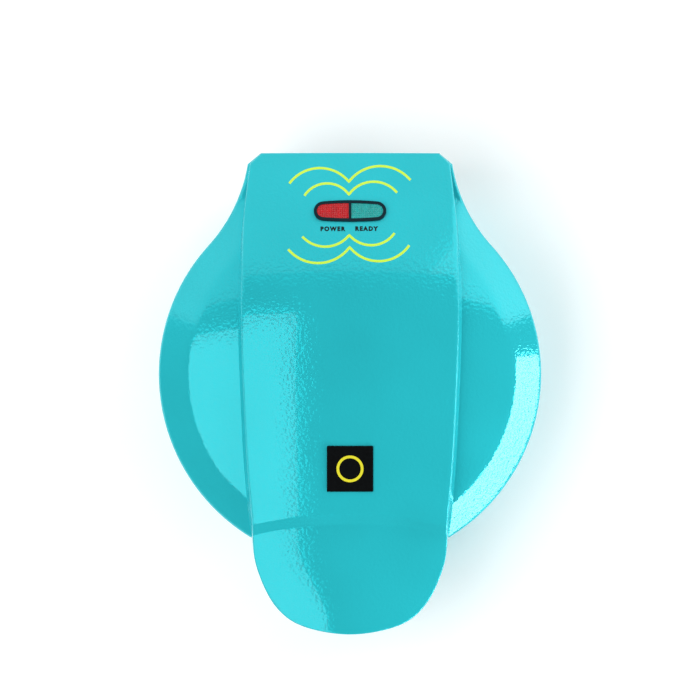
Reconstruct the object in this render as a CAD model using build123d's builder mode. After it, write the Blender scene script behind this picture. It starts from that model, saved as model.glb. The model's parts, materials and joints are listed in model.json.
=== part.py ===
"""Donut maker with two hinged, heated halves.

The pieces are built about the cooking plates' axis (x = 0, y = 0), +Z up, with the hinge at +Y and the handle at -Y.
Each one is then written with the origin in the middle of the object's footprint, on the table. All sizes are in mm.
"""

import os
from math import asin, cos, degrees, radians, sin, sqrt

from build123d import *

# ---------------------------------------------------------------- driving dimensions
# Plan of the body, from the plates' axis
BODY_R = 105.3  # round body at the lid's skirt
SHOULDER_R = 88.0  # hollow shoulders that run from the round body to the hinge end
SHOULDER_ANGLE = 42.2  # where a shoulder leaves the round body, in degrees from +X
REAR_Y = 121.5  # rear edge of the lid
REAR_CHAMFER_X = 7.2
REAR_CHAMFER_Y = 6.0
TIP_Y = -143.0  # tip of the lid's handle
WALL = 2.5  # moulded wall thickness

# Heights
PARTING_Z = 46.5  # middle of the gap between the two halves
LID_Z = 47.0  # lower edge of the lid's skirt
BASE_TOP_Z = 46.0  # upper edge of the base shell
SKIRT_TOP_Z = 58.0  # where the lid's skirt turns into its flank
CROWN_Z = 91.0  # top of the dome
BAND_Z = 94.0  # top of the raised band
HANDLE_Z = 57.0  # underside of the lid's handle
HOOD_Z = 40.0  # lower edge of the hood over the hinge
HOOD_Y = 100.0  # front edge of that hood
FLOOR_Z = 6.0  # underside of the base's floor
BASE_FLANK_Z = 22.0  # where the base's flank meets its upright wall
BASE_HANDLE_Z = 28.5  # underside of the base's handle
BASE_HANDLE_TOP_Z = 40.0  # rim of the base handle's tray

# Lid surfaces
FLANK_TAPER = 50.0  # degrees from upright
CROWN_R = 213.0  # dome's radius
BAND_REAR_R = 255.0  # side-view arc of the band behind the plates' axis
BAND_FRONT_R = 400.0  # side-view arc of the band in front of it
BAND_CROWN_R = 300.0  # arc across the band
BAND_REAR_X = 49.2  # half width of the band's rear edge, between its chamfers
STEP_R = 224.0  # plan arc of the step between band and handle
STEP_Y = -82.0  # foot of the step on the centre line
STEP_DROP = 4.0
STEP_RUN = 5.5
HANDLE_SLOPE = 9.0  # degrees
BAND_EDGE = [(55.3, 115.5), (60.4, 70.0), (61.6, 25.0), (58.6, -46.0), (54.2, -91.0)]
HANDLE_EDGE = [(49.8, -111.0), (40.2, -128.7), (25.5, -138.7)]
EDGE_STATIONS = 12  # along the side of the band or of a handle

# Base
BASE_INSET = 1.0  # base shell inside the lid's outline
BASE_FLANK_TAPER = 37.0  # degrees from upright
BASE_FOOT_FILLET = 4.0
BASE_FLANK_FILLET = 8.0
BASE_REAR_Y = 97.0  # flat rear wall under the hinge
BASE_HANDLE_EDGE = [(50.0, -88.0), (46.5, -107.0), (37.0, -120.0), (22.0, -126.6)]
BASE_TIP_Y = -128.5
FOOT_R = 8.0
FOOT_STUD_R = 3.0
FEET = {"front_left": (-50.0, -60.0), "front_right": (50.0, -60.0), "rear_left": (-40.0, 82.0), "rear_right": (40.0, 82.0)}

# Hinge
HINGE_Y = 108.0
HINGE_Z = 46.0
KNUCKLE_R = 6.5
PIN_R = 2.0
PIN_FIT = 0.06  # radial clearance of a turning pin
PIN_X = (29.7, 47.1)
LUG_X = (34.1, 42.7)
EAR_X = [(30.0, 33.8), (43.0, 46.8)]
ARM_T = 6.0

# Cooking plates, lower half
PLATE_R = 91.0
PLATE_T = 3.0
PLATE_LAND_Z = 46.2  # face of the plate
PLATE_BACK_Z = PLATE_LAND_Z - PLATE_T
RING_PITCH_R = 57.5
RING_COUNT = 6  # rings around the middle one
RING_R = 17.0  # circle through the deepest line of a ring
RING_HALF_W = 10.0
RING_DEPTH = 12.0
RING_WALL = 3.0
POST_R = 73.0  # circle of the posts that hold the heat shield
POST_D = 8.0
SENSOR_Y = -72.0
SENSOR_R = 6.0
SENSOR_Z = 36.0  # where the plate's boss meets the sensor
SENSOR_T = 6.0
PLATE_SCREW_Y = 84.5

# Heater and heat shield, lower half
HEATER_TUBE_R = 3.2
HEATER_R = 62.0
HEATER_Z = 28.4
HEATER_LEG_ANGLE = 8.4  # each side of the rear
HEATER_LEG_Z = 14.0
SHIELD_Z = 22.2
SHIELD_T = 0.6
SHIELD_R = 79.6
SHIELD_RIM_Z = 30.0

# Inner frames, lower half
FRAME_GAP = 0.3
FRAME_T = 2.5
FRAME_TOP_Z = 45.8
FRAME_REAR_Y = 94.2
SEAT_R = 91.4  # opening for the plate's flange
SEAT_WALL = 2.0
LEDGE_R = 88.2
LEDGE_T = 2.4
TAB_R = 5.0
BASE_BOSS_R = 86.5  # circle of the long screws
BASE_BOSS_Z = 30.0  # where the shell's posts meet the frame's
LID_BOSS_R = 97.3  # circle of the lid frame's screws
QUARTERS = [30.0, 150.0, 210.0, 330.0]

# Screws
SCREW_R = 1.5
SCREW_HEAD_R = 3.0
SCREW_HEAD_T = 2.2
FLUSH_HEAD_T = 1.3
HOLE_GAP = 0.1
SHIELD_SCREW_L = 9.0
PLATE_SCREW_BITE = 2.2
LONG_SCREW_Z = 20.0  # underside of the head, up inside the base's post
LONG_SCREW_L = 18.0

# Handles
HANDLE_COVER_T = 2.5
LID_GRIP_SCREWS = [(-30.0, -118.0), (30.0, -118.0)]
BASE_GRIP_SCREWS = [(-24.0, -114.0), (24.0, -114.0)]

# Latch
LATCH_Y = -134.5
LATCH_Z = 63.0
LATCH_HALF_W = 14.0
LATCH_PIN_R = 1.5
LATCH_BARREL_R = 3.6
LATCH_T = 3.0
LATCH_BOTTOM_Z = 22.8
HOOK_T = 3.5
HOOK_REACH = 4.2
LATCH_EAR_X = (15.0, 18.0)

# Signal lamps, in a pod on the band
LAMP_Y = 89.0
LAMP_HALF_L = 19.8
LAMP_HALF_W = 6.2
LAMP_RIM = 1.7
LAMP_SEAT = 0.9  # step from the rim to the neck that goes through the lid
LAMP_NECK = 5.0
LAMP_BAR = 0.7  # half width of the bar between the two lenses
LAMP_HOLDER_T = 5.5
LAMP_BULB_R = 2.0

# Badge
BADGE_Y = -51.4
BADGE_SIDE = 25.2
POCKET_DEPTH = 0.8
BADGE_T = 1.1

# Cord entry in the base's rear wall, and the lead that goes over the hinge
GLAND_Z = 20.0
GLAND_BORE_R = 3.5
GLAND_NECK_R = 5.0
GLAND_FLANGE_R = 7.5
LEAD_X = 14.5
LEAD_MEET_X = 20.0  # the two ends of the lead twist against each other here, on the hinge axis
LEAD_BEND_R = 3.4
LEAD_Z = 38.3
LEAD_R = 2.0
WIRE_R = 1.1

# Middle of the footprint, measured from the plates' axis
FOOTPRINT_Y = (REAR_Y + TIP_Y) / 2
TO_FOOTPRINT = Location((0, -FOOTPRINT_Y, 0))

MIDLINE = Axis((0, 0, PARTING_Z), (0, 1, 0))  # the upper half is the lower one turned over about it
STANDING = (Align.CENTER, Align.CENTER, Align.MIN)
HANGING = (Align.CENTER, Align.CENTER, Align.MAX)
FAR = 400.0  # larger than the object


def on_circle(radius, angle):
    return (radius * cos(radians(angle)), radius * sin(radians(angle)))


# ---------------------------------------------------------------- outlines
def body_outline(inset=0.0, rear_y=REAR_Y):
    """Plan of the body: round front, hollow shoulders, straight rear edge with chamfered corners."""
    reach = BODY_R + SHOULDER_R
    centre_x = reach * cos(radians(SHOULDER_ANGLE))
    centre_y = reach * sin(radians(SHOULDER_ANGLE))
    corner_y = REAR_Y - REAR_CHAMFER_Y
    rise = centre_y - corner_y
    corner_x = centre_x - sqrt(SHOULDER_R**2 - rise**2)
    end_angle = 180 + degrees(asin(rise / SHOULDER_R))
    with BuildSketch() as outline:
        with BuildLine():
            CenterArc((0, 0), BODY_R, -90, 90 + SHOULDER_ANGLE)
            CenterArc((centre_x, centre_y), SHOULDER_R, 180 + SHOULDER_ANGLE, end_angle - 180 - SHOULDER_ANGLE)
            Polyline((corner_x, corner_y), (corner_x - REAR_CHAMFER_X, REAR_Y), (0, REAR_Y))
            mirror(about=Plane.YZ)
        make_face()
        if inset:
            offset(amount=-inset, kind=Kind.INTERSECTION)
        if rear_y < REAR_Y:
            with Locations((0, rear_y)):
                Rectangle(FAR, FAR, align=(Align.CENTER, Align.MAX), mode=Mode.INTERSECT)
    return outline.sketch


def tongue_outline(edge, tip_y, inset=0.0, rear=None):
    """Plan of a part with a rounded tip: edge lists its right-hand points from rear to front.

    The inset outline goes through stations that are set in square to the full one. The side ends in a line
    across, or first in a chamfer to the rear point.
    """
    with BuildSketch() as outline:
        with BuildLine():
            ends = {"tangents": ((1, 0), (-0.1, 1)), "tangent_scalars": (1, 1)}
            full = Spline((0, tip_y), *reversed(edge), **ends, mode=Mode.PRIVATE)
            stations = [i / EDGE_STATIONS for i in range(EDGE_STATIONS + 1)]
            inwards = [Vector(0, 0, inset).cross(full % at) for at in stations]
            points = [full @ at + step for at, step in zip(stations, inwards)]
            side = Spline(*points, **ends)
            corner = (side @ 1) if rear is None else Vector(rear[0] - inset, rear[1] - inset)
            if rear is not None:
                Line(side @ 1, corner)
            Line(corner, (0, corner.Y))
            mirror(about=Plane.YZ)
        make_face()
    return outline.sketch


def band_outline(inset=0.0):
    """Plan of the raised band and the handle that it runs out into."""
    return tongue_outline(BAND_EDGE + HANDLE_EDGE, TIP_Y, inset, rear=(BAND_REAR_X, REAR_Y))


def pod_outline(inset=0.0):
    """Plan of the lamp pod: a long lozenge with full round ends and slightly bowed sides."""
    shoulder_x = LAMP_HALF_L - 4.6
    shoulder_y = LAMP_HALF_W - 0.8
    with BuildSketch() as outline:
        with BuildLine():
            ThreePointArc((-shoulder_x, shoulder_y), (0, LAMP_HALF_W), (shoulder_x, shoulder_y))
            ThreePointArc((shoulder_x, shoulder_y), (LAMP_HALF_L, 0), (shoulder_x, -shoulder_y))
            mirror(about=Plane.XZ)
            ThreePointArc((-shoulder_x, -shoulder_y), (-LAMP_HALF_L, 0), (-shoulder_x, shoulder_y))
        make_face()
        if inset:
            offset(amount=-inset, kind=Kind.INTERSECTION)
    return outline.sketch


def window_outline(side):
    """One half of the pod's window, on the side given by +1 or -1, clear of the bar between the two lenses."""
    with BuildSketch() as outline:
        add(pod_outline(LAMP_RIM))
        with Locations((side * LAMP_BAR, 0)):
            align_x = Align.MIN if side > 0 else Align.MAX
            Rectangle(FAR, FAR, align=(align_x, Align.CENTER), mode=Mode.INTERSECT)
    return outline.sketch


# ---------------------------------------------------------------- shared solids
def band_section(inset, plane):
    """Slice across the band, with its crowned top, on the given plane."""
    half_w = 75.0
    drop = half_w**2 / (2 * BAND_CROWN_R)
    top = BAND_Z - inset
    with BuildSketch(plane) as section:
        with BuildLine():
            ThreePointArc((-half_w, top - drop), (0, top), (half_w, top - drop))
            Polyline((half_w, top - drop), (half_w, HANDLE_Z - 40), (-half_w, HANDLE_Z - 40), (-half_w, top - drop))
        make_face()
    return section.sketch


def band_form(inset=0.0):
    """The band and handle as a closed solid, cut to their plan."""
    with BuildPart() as band:
        rear_axis = Axis((0, 0, BAND_Z - BAND_REAR_R), (1, 0, 0))
        front_axis = Axis((0, 0, BAND_Z - BAND_FRONT_R), (1, 0, 0))
        revolve(band_section(inset, Plane.XZ), axis=rear_axis, revolution_arc=-36)
        revolve(band_section(inset, Plane.XZ), axis=front_axis, revolution_arc=22)
        with Locations((0, STEP_Y - STEP_R, BAND_Z - 60)):
            step_rim_r = STEP_R + inset + STEP_RUN
            Cone(step_rim_r - 60 * STEP_RUN / STEP_DROP, step_rim_r, 60, align=STANDING, mode=Mode.SUBTRACT)
        with Locations((0, STEP_Y - 60, 0)):
            Box(FAR, 60, FAR, align=(Align.CENTER, Align.MAX, Align.CENTER), mode=Mode.SUBTRACT)
        root_y = STEP_Y + 12
        root_drop = BAND_FRONT_R - sqrt(BAND_FRONT_R**2 - root_y**2) + STEP_DROP
        handle_plane = Plane(origin=(0, root_y, -root_drop), x_dir=(1, 0, 0), z_dir=(0, -1, 0))
        slope = radians(HANDLE_SLOPE)
        extrude(band_section(inset, handle_plane), amount=90, dir=(0, -cos(slope), -sin(slope)))
        with BuildSketch(Plane.XY.offset(HANDLE_Z)):
            add(band_outline(inset))
        extrude(amount=60, mode=Mode.INTERSECT)
    return band.part


def lid_form(inset=0.0):
    """Outside of the lid as a closed solid, or its hollow when inset by the wall."""
    skirt_top = SKIRT_TOP_Z - inset / 2
    with BuildPart() as form:
        with BuildSketch(Plane.XY.offset(skirt_top)):
            add(body_outline(inset))
        extrude(amount=34, taper=FLANK_TAPER)
        with Locations((0, 0, CROWN_Z - CROWN_R)):
            Sphere(CROWN_R - inset, mode=Mode.INTERSECT)
        with BuildSketch(Plane.XY.offset(LID_Z)):
            add(body_outline(inset))
        extrude(amount=skirt_top - LID_Z)
        add(band_form(inset))
        with BuildSketch(Plane.XY.offset(HOOD_Z)):
            add(body_outline(inset))
            with Locations((0, HOOD_Y - inset)):
                Rectangle(FAR, FAR, align=(Align.CENTER, Align.MIN), mode=Mode.INTERSECT)
        extrude(amount=LID_Z - HOOD_Z + 1)
    return form.part


def band_plane(y):
    """Plane that touches the top of the band on the centre line."""
    radius = BAND_REAR_R if y > 0 else BAND_FRONT_R
    tilt = asin(y / radius)
    top = (0, y, BAND_Z - radius * (1 - cos(tilt)))
    return Plane(origin=top, x_dir=(1, 0, 0), z_dir=(0, sin(tilt), cos(tilt)))


def base_form(inset=0.0):
    """Outside of the base as a closed solid, or its hollow when inset by the wall."""
    with BuildPart() as form:
        with BuildSketch(Plane.XY.offset(BASE_FLANK_Z)):
            add(body_outline(BASE_INSET + inset))
        extrude(amount=BASE_TOP_Z - BASE_FLANK_Z)
        with BuildSketch(Plane(origin=(0, 0, BASE_FLANK_Z), x_dir=(-1, 0, 0), z_dir=(0, 0, -1))):
            add(body_outline(BASE_INSET + inset))
        extrude(amount=BASE_FLANK_Z - FLOOR_Z - inset, taper=BASE_FLANK_TAPER)
        with Locations((0, BASE_REAR_Y - inset, 0)):
            Box(FAR, FAR, FAR, align=(Align.CENTER, Align.MIN, Align.CENTER), mode=Mode.SUBTRACT)
        round_edges = form.edges().filter_by(GeomType.CIRCLE)
        fillet(round_edges.filter_by_position(Axis.Z, FLOOR_Z, FLOOR_Z + WALL), BASE_FOOT_FILLET - inset)
        round_edges = form.edges().filter_by(GeomType.CIRCLE)
        fillet(round_edges.filter_by_position(Axis.Z, BASE_FLANK_Z, BASE_FLANK_Z), BASE_FLANK_FILLET - inset)
    return form.part


def base_tongue(inset, bottom, top):
    """Slab in the plan of the base's handle, outside the round body."""
    with BuildPart() as slab:
        with BuildSketch(Plane.XY.offset(bottom)):
            add(tongue_outline(BASE_HANDLE_EDGE, BASE_TIP_Y, inset))
            Circle(BODY_R - BASE_INSET + max(inset - WALL, 0.0), mode=Mode.SUBTRACT)
        extrude(amount=top - bottom)
    return slab.part


def posts(spots, radius, bottom, top):
    """Round posts between two heights."""
    with BuildPart() as group:
        with BuildSketch(Plane.XY.offset(bottom)):
            with Locations(*spots):
                Circle(radius)
        extrude(amount=top - bottom)
    return group.part


def turned_over(shape):
    """The same piece in the upper half."""
    return shape.rotate(MIDLINE, 180)


def screw(length, head_t=SCREW_HEAD_T):
    """Cross-head screw along +Z: the flat underside of its head is at z = 0 and the shank runs up from there."""
    with BuildPart() as part:
        with Locations((0, 0, -head_t)):
            Cylinder(SCREW_HEAD_R, head_t, align=STANDING)
        fillet(part.edges().sort_by(Axis.Z)[0], 0.6)
        Cylinder(SCREW_R, length, align=STANDING)
        chamfer(part.edges().sort_by(Axis.Z)[-1], 0.5)
        with Locations((0, 0, -head_t)):
            Box(SCREW_HEAD_R * 1.1, 0.8, 1.6, mode=Mode.SUBTRACT)
            Box(0.8, SCREW_HEAD_R * 1.1, 1.6, mode=Mode.SUBTRACT)
    return part.part


def screws(spots, z, length, head_t=SCREW_HEAD_T):
    """A set of equal screws that point up."""
    with BuildPart() as group:
        for x, y in spots:
            add(screw(length, head_t).moved(Location((x, y, z))))
    return group.part


def wire(points, corner_r, radius):
    """Round wire or sleeve along straight runs joined by arcs."""
    with BuildPart() as rod:
        with BuildLine() as path:
            FilletPolyline(*points, radius=corner_r)
        with BuildSketch(Plane(origin=path.line @ 0, z_dir=path.line % 0)):
            Circle(radius)
        sweep(path=path.line)
    return rod.part


def knuckle(x_range, root_y, low_z, bore_r):
    """Hinge lug or ear, one on each side: a round end on the hinge axis and a flat arm that runs forwards."""
    with BuildPart() as pair:
        with BuildSketch(Plane.YZ.offset(x_range[0])):
            with Locations((HINGE_Y, HINGE_Z)):
                Circle(KNUCKLE_R)
            with Locations((root_y, low_z)):
                Rectangle(HINGE_Y - root_y, ARM_T, align=(Align.MIN, Align.MIN))
            with Locations((HINGE_Y, HINGE_Z)):
                Circle(bore_r, mode=Mode.SUBTRACT)
        extrude(amount=x_range[1] - x_range[0])
        mirror(about=Plane.YZ)
    return pair.part


def frame_ring(inset, rear_y):
    """Inner frame of the lower half: a flange inside the shell, with the seat and ledge for a cooking plate."""
    ledge_z = PLATE_BACK_Z - LEDGE_T
    with BuildPart() as ring:
        with BuildSketch(Plane.XY.offset(FRAME_TOP_Z - FRAME_T)):
            add(body_outline(inset, rear_y))
            Circle(SEAT_R, mode=Mode.SUBTRACT)
        extrude(amount=FRAME_T)
        with BuildSketch(Plane.XY.offset(ledge_z)):
            Circle(SEAT_R + SEAT_WALL)
            Circle(SEAT_R, mode=Mode.SUBTRACT)
        extrude(amount=FRAME_TOP_Z - ledge_z)
        with BuildSketch(Plane.XY.offset(ledge_z)):
            Circle(SEAT_R)
            Circle(LEDGE_R, mode=Mode.SUBTRACT)
            with Locations((0, PLATE_SCREW_Y), (0, -PLATE_SCREW_Y)):
                Circle(TAB_R)
                Circle(SCREW_R + HOLE_GAP, mode=Mode.SUBTRACT)
        extrude(amount=LEDGE_T)
    return ring.part


def ring_mould(half_w, depth):
    """Lower half of a ring with an elliptic section, below the plate's face."""
    with BuildPart() as mould:
        with BuildSketch(Plane.XZ):
            with Locations((RING_R, PLATE_LAND_Z)):
                Ellipse(half_w, depth)
            with Locations((0, PLATE_LAND_Z)):
                Rectangle(FAR, FAR, align=(Align.CENTER, Align.MAX), mode=Mode.INTERSECT)
        revolve(axis=Axis.Z)
    return mould.part


def heater():
    """Tubular heater of the lower half: an open ring with a leg down from each end."""
    with BuildPart() as tube:
        with BuildLine(Plane.XY.offset(HEATER_Z)) as path:
            CenterArc((0, 0), HEATER_R, 90 + HEATER_LEG_ANGLE, 360 - 2 * HEATER_LEG_ANGLE)
        with BuildSketch(Plane(origin=path.line @ 0, z_dir=path.line % 0)):
            Circle(HEATER_TUBE_R)
        sweep(path=path.line)
        for end in (path.line @ 0, path.line @ 1):
            with Locations(end):
                Sphere(HEATER_TUBE_R)
                Cylinder(HEATER_TUBE_R, HEATER_Z - HEATER_LEG_Z, align=HANGING)
    return tube.part


def cooking_plate():
    """Cast plate of the lower half: seven ring moulds in a flat disc, with posts for the heat shield behind it."""
    with BuildPart() as plate:
        with Locations((0, 0, PLATE_BACK_Z)):
            Cylinder(PLATE_R, PLATE_T, align=STANDING)
        for spot in RING_SPOTS:
            add(ring_mould(RING_HALF_W + RING_WALL, RING_DEPTH + RING_WALL).moved(Location(spot)))
        add(posts(POST_SPOTS, POST_D / 2, SHIELD_Z + SHIELD_T, PLATE_BACK_Z))
        add(posts([(0, SENSOR_Y)], SENSOR_R, SENSOR_Z, PLATE_BACK_Z))
        for spot in RING_SPOTS:
            add(ring_mould(RING_HALF_W, RING_DEPTH).moved(Location(spot)), mode=Mode.SUBTRACT)
        add(heater(), mode=Mode.SUBTRACT)
        post_hole = posts(POST_SPOTS, SCREW_R, SHIELD_Z, SHIELD_Z + SHIELD_SCREW_L)
        add(post_hole, mode=Mode.SUBTRACT)
        flange_hole = posts(PLATE_SCREW_SPOTS, SCREW_R, PLATE_BACK_Z, PLATE_BACK_Z + PLATE_SCREW_BITE)
        add(flange_hole, mode=Mode.SUBTRACT)
    return plate.part


def heat_shield():
    """Pressed steel pan behind the lower plate, with a turned-up rim."""
    leg_spots = [on_circle(HEATER_R, 90 + side * HEATER_LEG_ANGLE) for side in (-1, 1)]
    with BuildPart() as pan:
        with Locations((0, 0, SHIELD_Z)):
            Cylinder(SHIELD_R, SHIELD_RIM_Z - SHIELD_Z, align=STANDING)
        fillet(pan.edges().sort_by(Axis.Z)[0], 2.0)
        offset(amount=-SHIELD_T, openings=pan.faces().sort_by(Axis.Z)[-1])
        add(posts(POST_SPOTS, SCREW_R + HOLE_GAP, SHIELD_Z, SHIELD_Z + SHIELD_T), mode=Mode.SUBTRACT)
        add(posts(leg_spots, HEATER_TUBE_R + 0.6, SHIELD_Z, SHIELD_Z + SHIELD_T), mode=Mode.SUBTRACT)
    return pan.part


def thermostat():
    """Round snap-action sensor under the lower plate's boss, on a stem from the heat shield."""
    with BuildPart() as sensor:
        with Locations((0, SENSOR_Y, SENSOR_Z)):
            Cylinder(SENSOR_R, SENSOR_T, align=HANGING)
        with Locations((0, SENSOR_Y, SHIELD_Z + SHIELD_T)):
            Cylinder(2.0, SENSOR_Z - SENSOR_T - SHIELD_Z - SHIELD_T, align=STANDING)
        for x in (-3.5, 3.5):
            with Locations((x, SENSOR_Y, SENSOR_Z - SENSOR_T)):
                Box(0.8, 4, 4, align=HANGING)
    return sensor.part


RING_SPOTS = [(0.0, 0.0)] + [on_circle(RING_PITCH_R, 360 / RING_COUNT * i) for i in range(RING_COUNT)]
POST_SPOTS = [on_circle(POST_R, angle) for angle in QUARTERS]
BASE_BOSS_SPOTS = [on_circle(BASE_BOSS_R, angle) for angle in QUARTERS]
LID_BOSS_SPOTS = [on_circle(LID_BOSS_R, angle) for angle in QUARTERS]
PLATE_SCREW_SPOTS = [(0.0, PLATE_SCREW_Y), (0.0, -PLATE_SCREW_Y)]
LID_FRAME_Z = 2 * PARTING_Z - FRAME_TOP_Z  # face of the lid's frame

os.makedirs("parts", exist_ok=True)

# ---------------------------------------------------------------- lid
pod_plane = band_plane(LAMP_Y)
badge_plane = band_plane(BADGE_Y)
lid_core = lid_form(WALL / 2)  # bosses run up into the thickness of the wall

with BuildPart() as lid_bosses:
    add(posts(LID_BOSS_SPOTS, 3.4, LID_FRAME_Z + FRAME_T, CROWN_Z))
    add(posts(LID_GRIP_SCREWS, 3.4, HANDLE_Z + HANDLE_COVER_T, CROWN_Z))
    add(lid_core, mode=Mode.INTERSECT)
    add(posts(LID_BOSS_SPOTS, SCREW_R, LID_FRAME_Z, LID_FRAME_Z + FRAME_T + 8), mode=Mode.SUBTRACT)
    add(posts(LID_GRIP_SCREWS, SCREW_R, HANDLE_Z, HANDLE_Z + HANDLE_COVER_T + 8), mode=Mode.SUBTRACT)

with BuildPart() as lid_shell:
    add(lid_form())
    add(lid_form(WALL), mode=Mode.SUBTRACT)
    add(lid_bosses.part)
    with BuildSketch(pod_plane.offset(-POCKET_DEPTH)):
        add(pod_outline())
    extrude(amount=LAMP_NECK, mode=Mode.SUBTRACT)
    with BuildSketch(pod_plane.offset(-LAMP_NECK)):
        add(pod_outline(LAMP_SEAT))
    extrude(amount=LAMP_NECK, mode=Mode.SUBTRACT)
    with BuildSketch(badge_plane.offset(-POCKET_DEPTH)):
        Rectangle(BADGE_SIDE, BADGE_SIDE)
    extrude(amount=POCKET_DEPTH * 3, mode=Mode.SUBTRACT)
lid_shell.part.label = "lid_shell"
export_step(lid_shell.part.moved(TO_FOOTPRINT), "parts/lid_shell.step")

with BuildPart() as lid_frame:
    add(turned_over(frame_ring(WALL + FRAME_GAP, FRAME_REAR_Y + 1)))
    for x_range in EAR_X:
        add(knuckle(x_range, FRAME_REAR_Y - 2, LID_FRAME_Z, PIN_R + PIN_FIT))
    add(posts(LID_BOSS_SPOTS, SCREW_R + HOLE_GAP, LID_FRAME_Z, LID_FRAME_Z + FRAME_T), mode=Mode.SUBTRACT)
    recess = posts(LID_BOSS_SPOTS, SCREW_HEAD_R + HOLE_GAP, LID_FRAME_Z, LID_FRAME_Z + FLUSH_HEAD_T)
    add(recess, mode=Mode.SUBTRACT)
lid_frame.part.label = "lid_frame"
export_step(lid_frame.part.moved(TO_FOOTPRINT), "parts/lid_frame.step")

with BuildPart() as lid_frame_screws:
    add(screws(LID_BOSS_SPOTS, LID_FRAME_Z + FLUSH_HEAD_T, 8.0, FLUSH_HEAD_T))
lid_frame_screws.part.label = "lid_frame_screws"
export_step(lid_frame_screws.part.moved(TO_FOOTPRINT), "parts/lid_frame_screws.step")

with BuildPart() as lid_handle_cover:
    with BuildSketch(Plane.XY.offset(HANDLE_Z)):
        add(band_outline(WALL + FRAME_GAP))
        Circle(BODY_R + FRAME_GAP, mode=Mode.SUBTRACT)
        Rectangle(FAR, FAR, align=(Align.CENTER, Align.MAX), mode=Mode.INTERSECT)
        with Locations((0, LATCH_Y + LATCH_BARREL_R + FRAME_GAP)):
            Rectangle(2 * LATCH_EAR_X[0], FAR, align=(Align.CENTER, Align.MAX), mode=Mode.SUBTRACT)
    extrude(amount=HANDLE_COVER_T)
    with BuildSketch(Plane.YZ.offset(LATCH_EAR_X[0])):
        with Locations((LATCH_Y, LATCH_Z)):
            Circle(LATCH_BARREL_R)
        with Locations((LATCH_Y, HANDLE_Z)):
            Rectangle(2 * LATCH_BARREL_R, LATCH_Z - HANDLE_Z, align=(Align.CENTER, Align.MIN))
        with Locations((LATCH_Y, LATCH_Z)):
            Circle(LATCH_PIN_R, mode=Mode.SUBTRACT)
    latch_ear = extrude(amount=LATCH_EAR_X[1] - LATCH_EAR_X[0])
    mirror(latch_ear, about=Plane.YZ)
    add(posts(LID_GRIP_SCREWS, SCREW_R + HOLE_GAP, HANDLE_Z, HANDLE_Z + HANDLE_COVER_T), mode=Mode.SUBTRACT)
    recess = posts(LID_GRIP_SCREWS, SCREW_HEAD_R + HOLE_GAP, HANDLE_Z, HANDLE_Z + FLUSH_HEAD_T)
    add(recess, mode=Mode.SUBTRACT)
lid_handle_cover.part.label = "lid_handle_cover"
export_step(lid_handle_cover.part.moved(TO_FOOTPRINT), "parts/lid_handle_cover.step")

with BuildPart() as lid_handle_screws:
    add(screws(LID_GRIP_SCREWS, HANDLE_Z + FLUSH_HEAD_T, 8.0, FLUSH_HEAD_T))
lid_handle_screws.part.label = "lid_handle_screws"
export_step(lid_handle_screws.part.moved(TO_FOOTPRINT), "parts/lid_handle_screws.step")

with BuildPart() as latch_pin:
    with Locations((0, LATCH_Y, LATCH_Z)):
        Cylinder(LATCH_PIN_R, 2 * LATCH_EAR_X[1], rotation=(0, 90, 0))
latch_pin.part.label = "latch_pin"
export_step(latch_pin.part.moved(TO_FOOTPRINT), "parts/latch_pin.step")

with BuildPart() as latch:
    blade_back = LATCH_Y - LATCH_T / 2
    with BuildSketch(Plane.YZ.offset(-LATCH_HALF_W)):
        with Locations((LATCH_Y, LATCH_Z)):
            Circle(LATCH_BARREL_R)
        with Locations((blade_back, LATCH_BOTTOM_Z)):
            Rectangle(LATCH_T, LATCH_Z - LATCH_BOTTOM_Z, align=(Align.MIN, Align.MIN))
            Rectangle(LATCH_T + HOOK_REACH, HOOK_T, align=(Align.MIN, Align.MIN))
            Rectangle(LATCH_T, HOOK_T, align=(Align.MAX, Align.MIN))
        with Locations((LATCH_Y, LATCH_Z)):
            Circle(LATCH_PIN_R + PIN_FIT, mode=Mode.SUBTRACT)
    extrude(amount=2 * LATCH_HALF_W)
    fillet(latch.edges().filter_by(Axis.X).group_by(Axis.Z)[0], 1.2)
latch.part.label = "latch"
export_step(latch.part.moved(TO_FOOTPRINT), "parts/latch.step")

with BuildPart() as badge_plate:
    with BuildSketch(badge_plane.offset(-POCKET_DEPTH)):
        RectangleRounded(BADGE_SIDE, BADGE_SIDE, 0.6)
    extrude(amount=BADGE_T)
badge_plate.part.label = "badge_plate"
export_step(badge_plate.part.moved(TO_FOOTPRINT), "parts/badge_plate.step")

# ---------------------------------------------------------------- signal lamps
with BuildPart() as lamp_bezel:
    with BuildSketch(pod_plane.offset(-POCKET_DEPTH)):
        add(pod_outline())
    extrude(amount=POCKET_DEPTH + 0.9)
    with BuildSketch(pod_plane.offset(-LAMP_NECK)):
        add(pod_outline(LAMP_SEAT))
    extrude(amount=LAMP_NECK)
    for side in (-1, 1):
        with BuildSketch(pod_plane.offset(-LAMP_NECK)):
            add(window_outline(side))
        extrude(amount=LAMP_NECK * 2, mode=Mode.SUBTRACT)
lamp_bezel.part.label = "lamp_bezel"
export_step(lamp_bezel.part.moved(TO_FOOTPRINT), "parts/lamp_bezel.step")

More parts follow.
